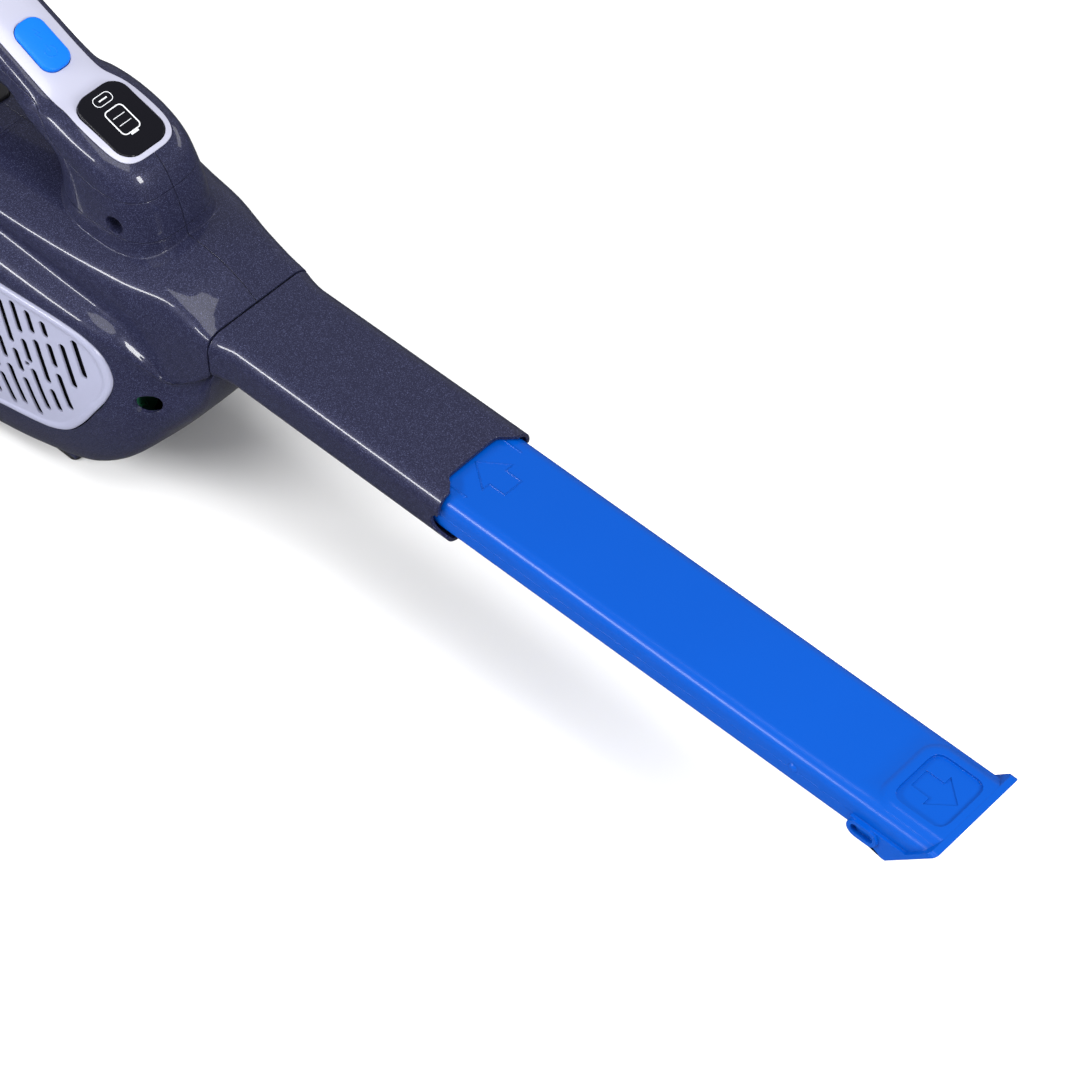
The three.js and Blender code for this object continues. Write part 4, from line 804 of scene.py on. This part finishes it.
def build_tool():
    body = loft("tool", [tool_ring(x) for x in (346, 300, 250, 200, 150, 92)])
    flange = loft("flange", [rectangle_ring(x, 22.1, 10.65, 1.9) for x in (346, 296)])
    combine(flange, beyond_tip(2.8), "INTERSECT")
    combine(body, flange, "UNION")
    # the fin under each side catch, from the catch to the tip
    fin = [(304, 0.3), (334, 0.3), (334, -10.65), (318.5, -10.65), (314, -7.8), (306, -7.8), (303.6, -5)]
    combine(body, prism("fin", fin, "y", -22.1, 22.1), "UNION")
    combine(body, pad_solid(), "UNION")
    for side in (1, -1):
        combine(body, prism("loop", catch_outline(0), "y", *sided(side, 18.6, 23.1)), "UNION")
        combine(body, prism("hole", catch_outline(1.7), "y", *sided(side, 21.2, 30)))
    combine(body, loft("bore", [rectangle_ring(350, 19.1, 7.65, 3.4), rectangle_ring(90, 19.9, 7.65, 3.4)]))
    combine(body, beyond_tip())
    dish = softened([(312.6, -12.4), (312.6, 12.4), (334.4, 12.4), (334.4, -12.4)], 5)
    combine(body, prism("dish", dish, "z", 9.45, 12))
    combine(body, prism("sunk_arrow", arrow(331.5, 322.5, 15, 314.8, 8.2), "z", 8.95, 12))
    root_arrow = [(x, y, TOOL_HEIGHT) for x, y in arrow(110.9, 121.8, 16, 129.4, 8.6)]
    marks = [tube("root_arrow", root_arrow, 0.28, True)]
    for y in (-14.2, 14.2):
        marks.append(tube("root_ridge", [(108, y, TOOL_HEIGHT), (120, y, TOOL_HEIGHT - 0.1)], 0.36))
    for side in (1, -1):
        parting = [(93, side * TOOL_HALF, 0.6), (303, side * (TOOL_HALF - 0.68), 0.6)]
        marks.append(tube("parting", parting, 0.13))
    marks += [bump(side) for side in (1, -1)]
    show(join("crevice_tool_body", [body, *marks]), ["crevice_tool"], angle=38)


def pad_solid():
    """The raised thumb pad at the tip, with sloping sides."""
    outline = [(309.4, -11), (309.4, 11), (313.6, 15), (346, 15), (346, -15), (313.6, -15)]
    middle = 328
    rings = []
    for grow, z in ((2.6, 8.8), (1.6, 9.5), (0.7, 10.1), (0, 10.45), (-0.7, 10.6)):
        spread = [(middle + (x - middle) * (1 + grow / 18), y * (1 + grow / 15)) for x, y in outline]
        rings.append([(x, y, z) for x, y in softened(spread, 4)])
    return loft("pad", rings)


def catch_outline(shrink):
    return rounded_rectangle(310, -3.7, 13 - 2 * shrink, 8 - 2 * shrink, 3.9 - shrink, 8)


def bump(side):
    """The small detent on the tool's side, a low dome."""
    rings = []
    for k in range(6):
        a = k * math.pi / 12
        y = side * (20.5 + 1.3 * math.sin(a))
        rings.append([(278 + 2.1 * math.cos(a) * math.cos(t), y, 1.5 + 2.1 * math.cos(a) * math.sin(t))
                      for t in spans(0, 2 * math.pi, 20)[:-1]])
    return loft("bump", rings)


# ---------------------------------------------------------------- grilles
GRILLE = spline([(-114, -8.2), (-100, -7.4), (-87, -7.4), (-73, -7.8), (-62, -8.7), (-52, -11.2),
                 (-45, -15.8), (-40.8, -23), (-39.6, -31), (-42.5, -40), (-48.4, -50), (-54.8, -60),
                 (-62, -68.4), (-71, -73.8), (-81, -76.4), (-95, -78.6), (-108, -80.4),
                 (-114.6, -78.6), (-116.8, -72), (-117, -42), (-116.9, -14)], 8, closed=True)
GRILLE_MIDDLE = (-80.0, -42.0)
FLANK_CUT = (30, 70)  # from inside the wall to outside it
SLOT_LEAN, SLOT_WIDTH = 0.3, 3.2
SLOT_LONG, SLOT_SHORT, SLOT_GAP = 17, 8, 5.6
SLOT_COLUMN = 7.4
SLOT_MARGIN = 6.6


def grille_slots():
    """Two ends for each slot: leaning columns of long and short slots kept inside the rim."""
    def depth(x, z):
        gap = min(math.dist((x, z), edge) for edge in GRILLE)
        crossings = sum((a[1] > z) != (b[1] > z)
                        and x < a[0] + (z - a[1]) * (b[0] - a[0]) / (b[1] - a[1])
                        for a, b in zip(GRILLE, GRILLE[1:] + GRILLE[:1]))
        return gap if crossings % 2 else -gap

    made = []
    for column in range(13):
        start = -120 + column * SLOT_COLUMN
        z, long = -3.0 - 5.5 * (column % 3), column % 2 == 0
        while z > -80:
            length = SLOT_LONG if long else SLOT_SHORT
            line = [(start + (-z + d) * SLOT_LEAN, z - d) for d in spans(0, length, 12)]
            kept = [point for point in line if depth(*point) > SLOT_MARGIN]
            if kept and math.dist(kept[0], kept[-1]) > 2.5:
                made.append((kept[0], kept[-1]))
            z, long = z - length - SLOT_GAP, not long
    return made


def flank_y(x, z, inset=0.0):
    """How far out the housing's flank is at x and z."""
    outline = half_outline(x, inset)
    for (y0, z0), (y1, z1) in zip(outline, outline[1:]):
        if z0 >= z >= z1 and z0 > z1 and y0 > 20:
            return y0 + (y1 - y0) * (z0 - z) / (z0 - z1)
    return outline[len(outline) // 2][0]


def grille_point(side, edge, depth, proud):
    """A point `depth` inside the outline's point `edge`, `proud` of the flank."""
    cx, cz = GRILLE_MIDDLE
    distance = math.hypot(edge[0] - cx, edge[1] - cz)
    share = max(distance - depth, 0) / distance
    x, z = cx + (edge[0] - cx) * share, cz + (edge[1] - cz) * share
    return (x, side * min(flank_y(x, z) + proud, WIDEST), z)


# depth inside the rim and height over the flank, across the grille's raised border and its field
GRILLE_PROFILE = [(0, -1.5), (0, 0.4), (0.15, 0.8), (0.5, 1.1), (1.1, 1.28), (2.1, 1.28), (2.8, 1.1),
                  (3.3, 0.75), (3.7, 0.5), (4.4, 0.42), *[(d, 0.4) for d in (6, 9, 12, 16, 20, 25, 30)]]


def build_grilles():
    for name, side in SIDES:
        front = [[grille_point(side, edge, depth, proud) for edge in GRILLE]
                 for depth, proud in GRILLE_PROFILE]
        deepest = [0.97 * math.dist(edge, GRILLE_MIDDLE) for edge in GRILLE]
        front.append([grille_point(side, edge, deep, 0.4) for edge, deep in zip(GRILLE, deepest)])
        back = [[grille_point(side, edge, deep * t, -0.5) for edge, deep in zip(GRILLE, deepest)]
                for t in (1, 0.8, 0.6, 0.4, 0.2)]
        plate = loft(f"grille_{name}_face", front + back + [front[0]], caps=False)
        combine(plate, join("slots", [slot_cutter(top, bottom, side) for top, bottom in grille_slots()]))
        show(plate, [f"grille_{name}"], angle=40)
        plate.data.materials[0] = GRILLE_SATIN
        # the backing behind the slots is near-black painted shade for the dark inside of the pod
        behind = [[grille_point(side, edge, depth, -1.2) for edge in GRILLE] for depth in (1.0, 8, 16, 24)]
        far = [[(x, y - side * 0.5, z) for x, y, z in row] for row in behind[::-1]]
        show(loft(f"grille_{name}_painted_shade_backing", behind + far), [f"grille_{name}"], look=PAINTED_SHADE)


def slot_cutter(top, bottom, side):
    """A slot with round ends between two points of the flank."""
    dx, dz = bottom[0] - top[0], bottom[1] - top[1]
    length = math.hypot(dx, dz)
    ux, uz = dx / length, dz / length
    ring = []
    for (cx, cz), start in ((bottom, -90), (top, 90)):
        for turn in spans(start, start + 180, 8):
            a = math.radians(turn)
            along, across = math.cos(a) * SLOT_WIDTH / 2, math.sin(a) * SLOT_WIDTH / 2
            ring.append((cx + ux * along - uz * across, cz + uz * along + ux * across))
    return prism("slot", ring, "y", *sided(side, *FLANK_CUT))


# ---------------------------------------------------------------- screws and feet
def build_screws():
    for name, (x, z, head, end) in SCREWS.items():
        profile = [(0.0, 2.4), (0, 2.6), (0, 2.6), (0.15, 2.9), (0.6, 3.1), (2.4, 3.1), (2.4, 1.5),
                   (end - head, 1.5)]
        rings = [[(u, head + d, w) for u, w in circle(x, z, r, 32)] for d, r in profile]
        piece = loft(f"{name}_head", rings)
        for turn in (0, 90):
            a = math.radians(turn + 20)
            ring = [(x + u * math.cos(a) - v * math.sin(a), z + u * math.sin(a) + v * math.cos(a))
                    for u, v in ((-1.7, -0.35), (1.7, -0.35), (1.7, 0.35), (-1.7, 0.35))]
            combine(piece, prism("cross", ring, "y", head - 1, head + 1.2))
        show(piece, [name])


def build_feet():
    for name, side in SIDES:
        rings = []
        for inset, z in ((0.8, -110), (0.25, -109.8), (0, -109.3), (0, -107.6)):
            outline = rounded_rectangle(FOOT_X, side * FOOT_Y, 22 - 2 * inset, 9 - 2 * inset, 3 - inset, 6)
            rings.append([(x, y, z) for x, y in outline])
        show(loft(f"foot_{name}_pad", rings), [f"foot_{name}"])


# ---------------------------------------------------------------- dust bowl
HINGE, LATCH = (-250.6, 9.6), (-251.6, -91)
HINGE_RADIUS = 2.5


def bowl_ring(x, inset, top=12.6):
    outline = clipped(half_outline(x, inset), top - inset, False)
    return [(x, y, z) for y, z in outline] + [(x, -y, z) for y, z in outline[::-1]]


def bowl_loft(name, xs, inset):
    return loft(name, [bowl_ring(x, inset) for x in xs])


def build_bowl():
    shell = bowl_loft("dust_bowl_wall", spans(-128.6, -246, 22), 0)
    combine(shell, bowl_loft("inside", [-120, *spans(-128.6, -246, 16), -250], 2), own=True)
    skid = [(-239, -104.5), (-238, -109.2), (-236.6, -110), (-151.4, -110), (-150, -109.2), (-149, -104.5)]
    for side in (1, -1):
        combine(shell, prism("runner", skid, "y", side * 30 - 4, side * 30 + 4), "UNION", own=True)
        combine(shell, lug(side), "UNION", own=True)
    show(shell, ["dust_bowl"], angle=38)


def lug(side):
    ring = arc(*HINGE, HINGE_RADIUS, math.pi / 2, 1.5 * math.pi, 12)
    return prism("lug", [*ring, (-244.8, 7.6), (-244.8, 12.1)], "y", *sided(side, 22, 27))


def build_door():
    rings = []
    for inset, x in ((1.0, -246.3), (0, -246.9), (0, -248.5), (0.25, -249.0), (0.8, -249.3)):
        rings.append([(x, y, z) for _, y, z in bowl_ring(-246, inset, 10.4)])
    plate = loft("bowl_door_plate", rings)
    combine(plate, prism("relief", [(-260, 7.4), (-240, 7.4), (-240, 30), (-260, 30)], "y", -28, 28))
    panel = rounded_rectangle(0, -48, 62, 70, 12)
    combine(plate, loft("panel", [[(x, y, z) for y, z in panel] for x in (-251, -248.6)]))
    combine(plate, prism("knuckle", circle(*HINGE, HINGE_RADIUS, 24), "y", -21.5, 21.5), "UNION")
    web = [(-251.6, 9), (-246.7, 9), (-246.7, 5), (-250, 5)]
    combine(plate, prism("web", web, "y", -21.5, 21.5), "UNION")
    combine(plate, round_cutter(*HINGE, 1.4, -40, 40))
    ear = [(-253.4, -95), (-253.4, -87), (-252.4, -86), (-248, -86), (-248, -96), (-252.4, -96)]
    for side in (1, -1):
        combine(plate, prism("ear", ear, "y", *sided(side, 12, 14.4)), "UNION")
    combine(plate, round_cutter(*LATCH, 1.4, -30, 30))
    show(plate, ["bowl_door"], angle=38)
    x, z = LATCH
    outline = [(x - 2, z + 9), (x - 3.4, z + 8), (x - 3.1, z), (x - 3.2, z - 5), (x - 1.6, -107.4),
               (x + 0.5, -108.6), (x + 12.6, -108.6), (x + 13, -108.2), (x + 13, -107.4),
               (x + 1.6, -107.2), (x + 1.2, z - 3), (x + 1.2, z + 3), (x - 1.2, z + 5)]
    latch = prism("door_latch_lever", outline, "y", -11.5, 11.5)
    combine(latch, round_cutter(x, z, 1.45, -20, 20), own=True)
    show(latch, ["door_latch"], bevel=0.25)


def build_release():
    cap = sloping_pad("release_cap", RELEASE, *RELEASE_SIZE, -3, 1.8, edge=0.7)
    stem = sloping_pad("release_stem", RELEASE, 6, 5, 1, -6, -2.5, edge=0.2)
    ribs = [tube("grip_line", [(RELEASE[0] + d, -3.6, 23.85), (RELEASE[0] + d, 3.6, 23.85)], 0.3)
            for d in (-4, -2, 0, 2, 4)]
    show(join("release_button_cap", [cap, stem, *ribs]), ["release_button"], angle=45)


# ---------------------------------------------------------------- inner pieces
FILTER_Z = -52


def build_filter():
    pleats = []
    for k in range(72):
        a = 2 * math.pi * k / 72
        r = 23.6 if k % 4 in (0, 1) else 18.2
        pleats.append((r * math.cos(a), FILTER_Z + r * math.sin(a)))
    sleeve = loft("pleated_filter_paper", [[(x, y, z) for y, z in pleats] for x in (-184, -134)])
    hole = circle(0, FILTER_Z, 14.5, 48)
    combine(sleeve, loft("hole", [[(x, y, z) for y, z in hole] for x in (-190, -130)]), own=True)
    show(sleeve, ["pleated_filter"])
    profile = [(16, -188), (26, -188), (26.6, -187.4), (31, -134.5), (35, -133.9), (35, -131.5),
               (29.8, -131.5), (24.8, -186.8), (16, -186.8)]
    ribs = [[(x, r * math.cos(a), FILTER_Z + r * math.sin(a)) for r, x in profile]
            for a in spans(0, 2 * math.pi, 72)[:-1]]
    cup = loft("prefilter_cup_wall", ribs + [ribs[0]], caps=False)
    bm = bmesh.new()
    bm.from_mesh(cup.data)
    bmesh.ops.remove_doubles(bm, verts=bm.verts, dist=1e-7)
    bm.to_mesh(cup.data)
    bm.free()
    show(cup, ["prefilter_cup"])


def build_inner():
    """CAD pieces that stay as they are get their finish and smooth round faces."""
    for name, piece in frame["nodes"].items():
        if piece.hide_render:
            continue
        piece.data.materials.clear()
        piece.data.materials.append(BY_SLOT[SLOT_OF[name]])
        piece.data.shade_smooth()
        piece.data.set_sharp_from_angle(angle=math.radians(32))


# ---------------------------------------------------------------- studio
def area_light(name, place, width, height, power):
    """A lamp turned towards the middle of the object."""
    data = bpy.data.lights.new(name, "AREA")
    data.shape = "RECTANGLE"
    data.size, data.size_y = width, height
    data.energy = power
    made = new_object(name, data)
    made.location = place
    made.rotation_mode = "QUATERNION"
    made.rotation_quaternion = (Vector((0, 0, 0.1)) - Vector(place)).to_track_quat("-Z", "Y")


def build_studio():
    bpy.ops.mesh.primitive_plane_add(size=12, location=(0, 0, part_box("foot_right")[0].z - 0.0002))
    floor = bpy.context.active_object
    floor.name = "floor"
    floor.data.materials.append(plastic("floor_white", (0.93, 0.93, 0.93), 0.8, grain=0.0, edge_mm=0))
    # the gloss on the dark sides would mirror the white floor and turn them grey
    floor.visible_glossy = False
    world = bpy.data.worlds.new("studio")
    bpy.context.scene.world = world
    world.use_nodes = True
    tree = world.node_tree
    split = tree.nodes.new("ShaderNodeSeparateXYZ")
    link(tree, tree.nodes.new("ShaderNodeTexCoord").outputs["Generated"], split.inputs["Vector"])
    rise = ranged(tree, split.outputs["Z"], From_Min=-0.15, From_Max=0.15, To_Min=0.12, To_Max=0.44)
    background = tree.nodes["Background"]
    background.inputs["Color"].default_value = (1, 1, 1, 1)
    link(tree, rise, background.inputs["Strength"])
    area_light("top", (0.3, -0.4, 2.6), 1.8, 1.6, 38)
    area_light("front", (-0.75, -1.3, 0.8), 1.0, 0.2, 22)
    area_light("window", (1.3, -0.1, 0.95), 0.26, 0.55, 16)
    area_light("rim", (0.4, 1.5, 0.9), 0.9, 0.3, 4)


def build_camera():
    """The photo's point of view, fitted to the straight edges seen in it."""
    data = bpy.data.cameras.new("camera")
    data.sensor_width = 36
    data.lens = 123.33
    data.clip_start, data.clip_end = 0.05, 50
    made = new_object("camera", data)
    made.location = at(712.3, -613.7, 1014.2)
    made.rotation_mode = "QUATERNION"
    back = Vector((0.4311, -0.4642, 0.7738))
    made.rotation_quaternion = (-back).to_track_quat("-Z", "Y")
    bpy.context.scene.camera = made


build_housing()
build_handle()
build_display()
build_button()
build_nozzle()
build_tool()
build_grilles()
build_screws()
build_feet()
build_bowl()
build_door()
build_release()
build_filter()
build_inner()
build_studio()
build_camera()
bpy.context.scene.view_settings.view_transform = "Standard"
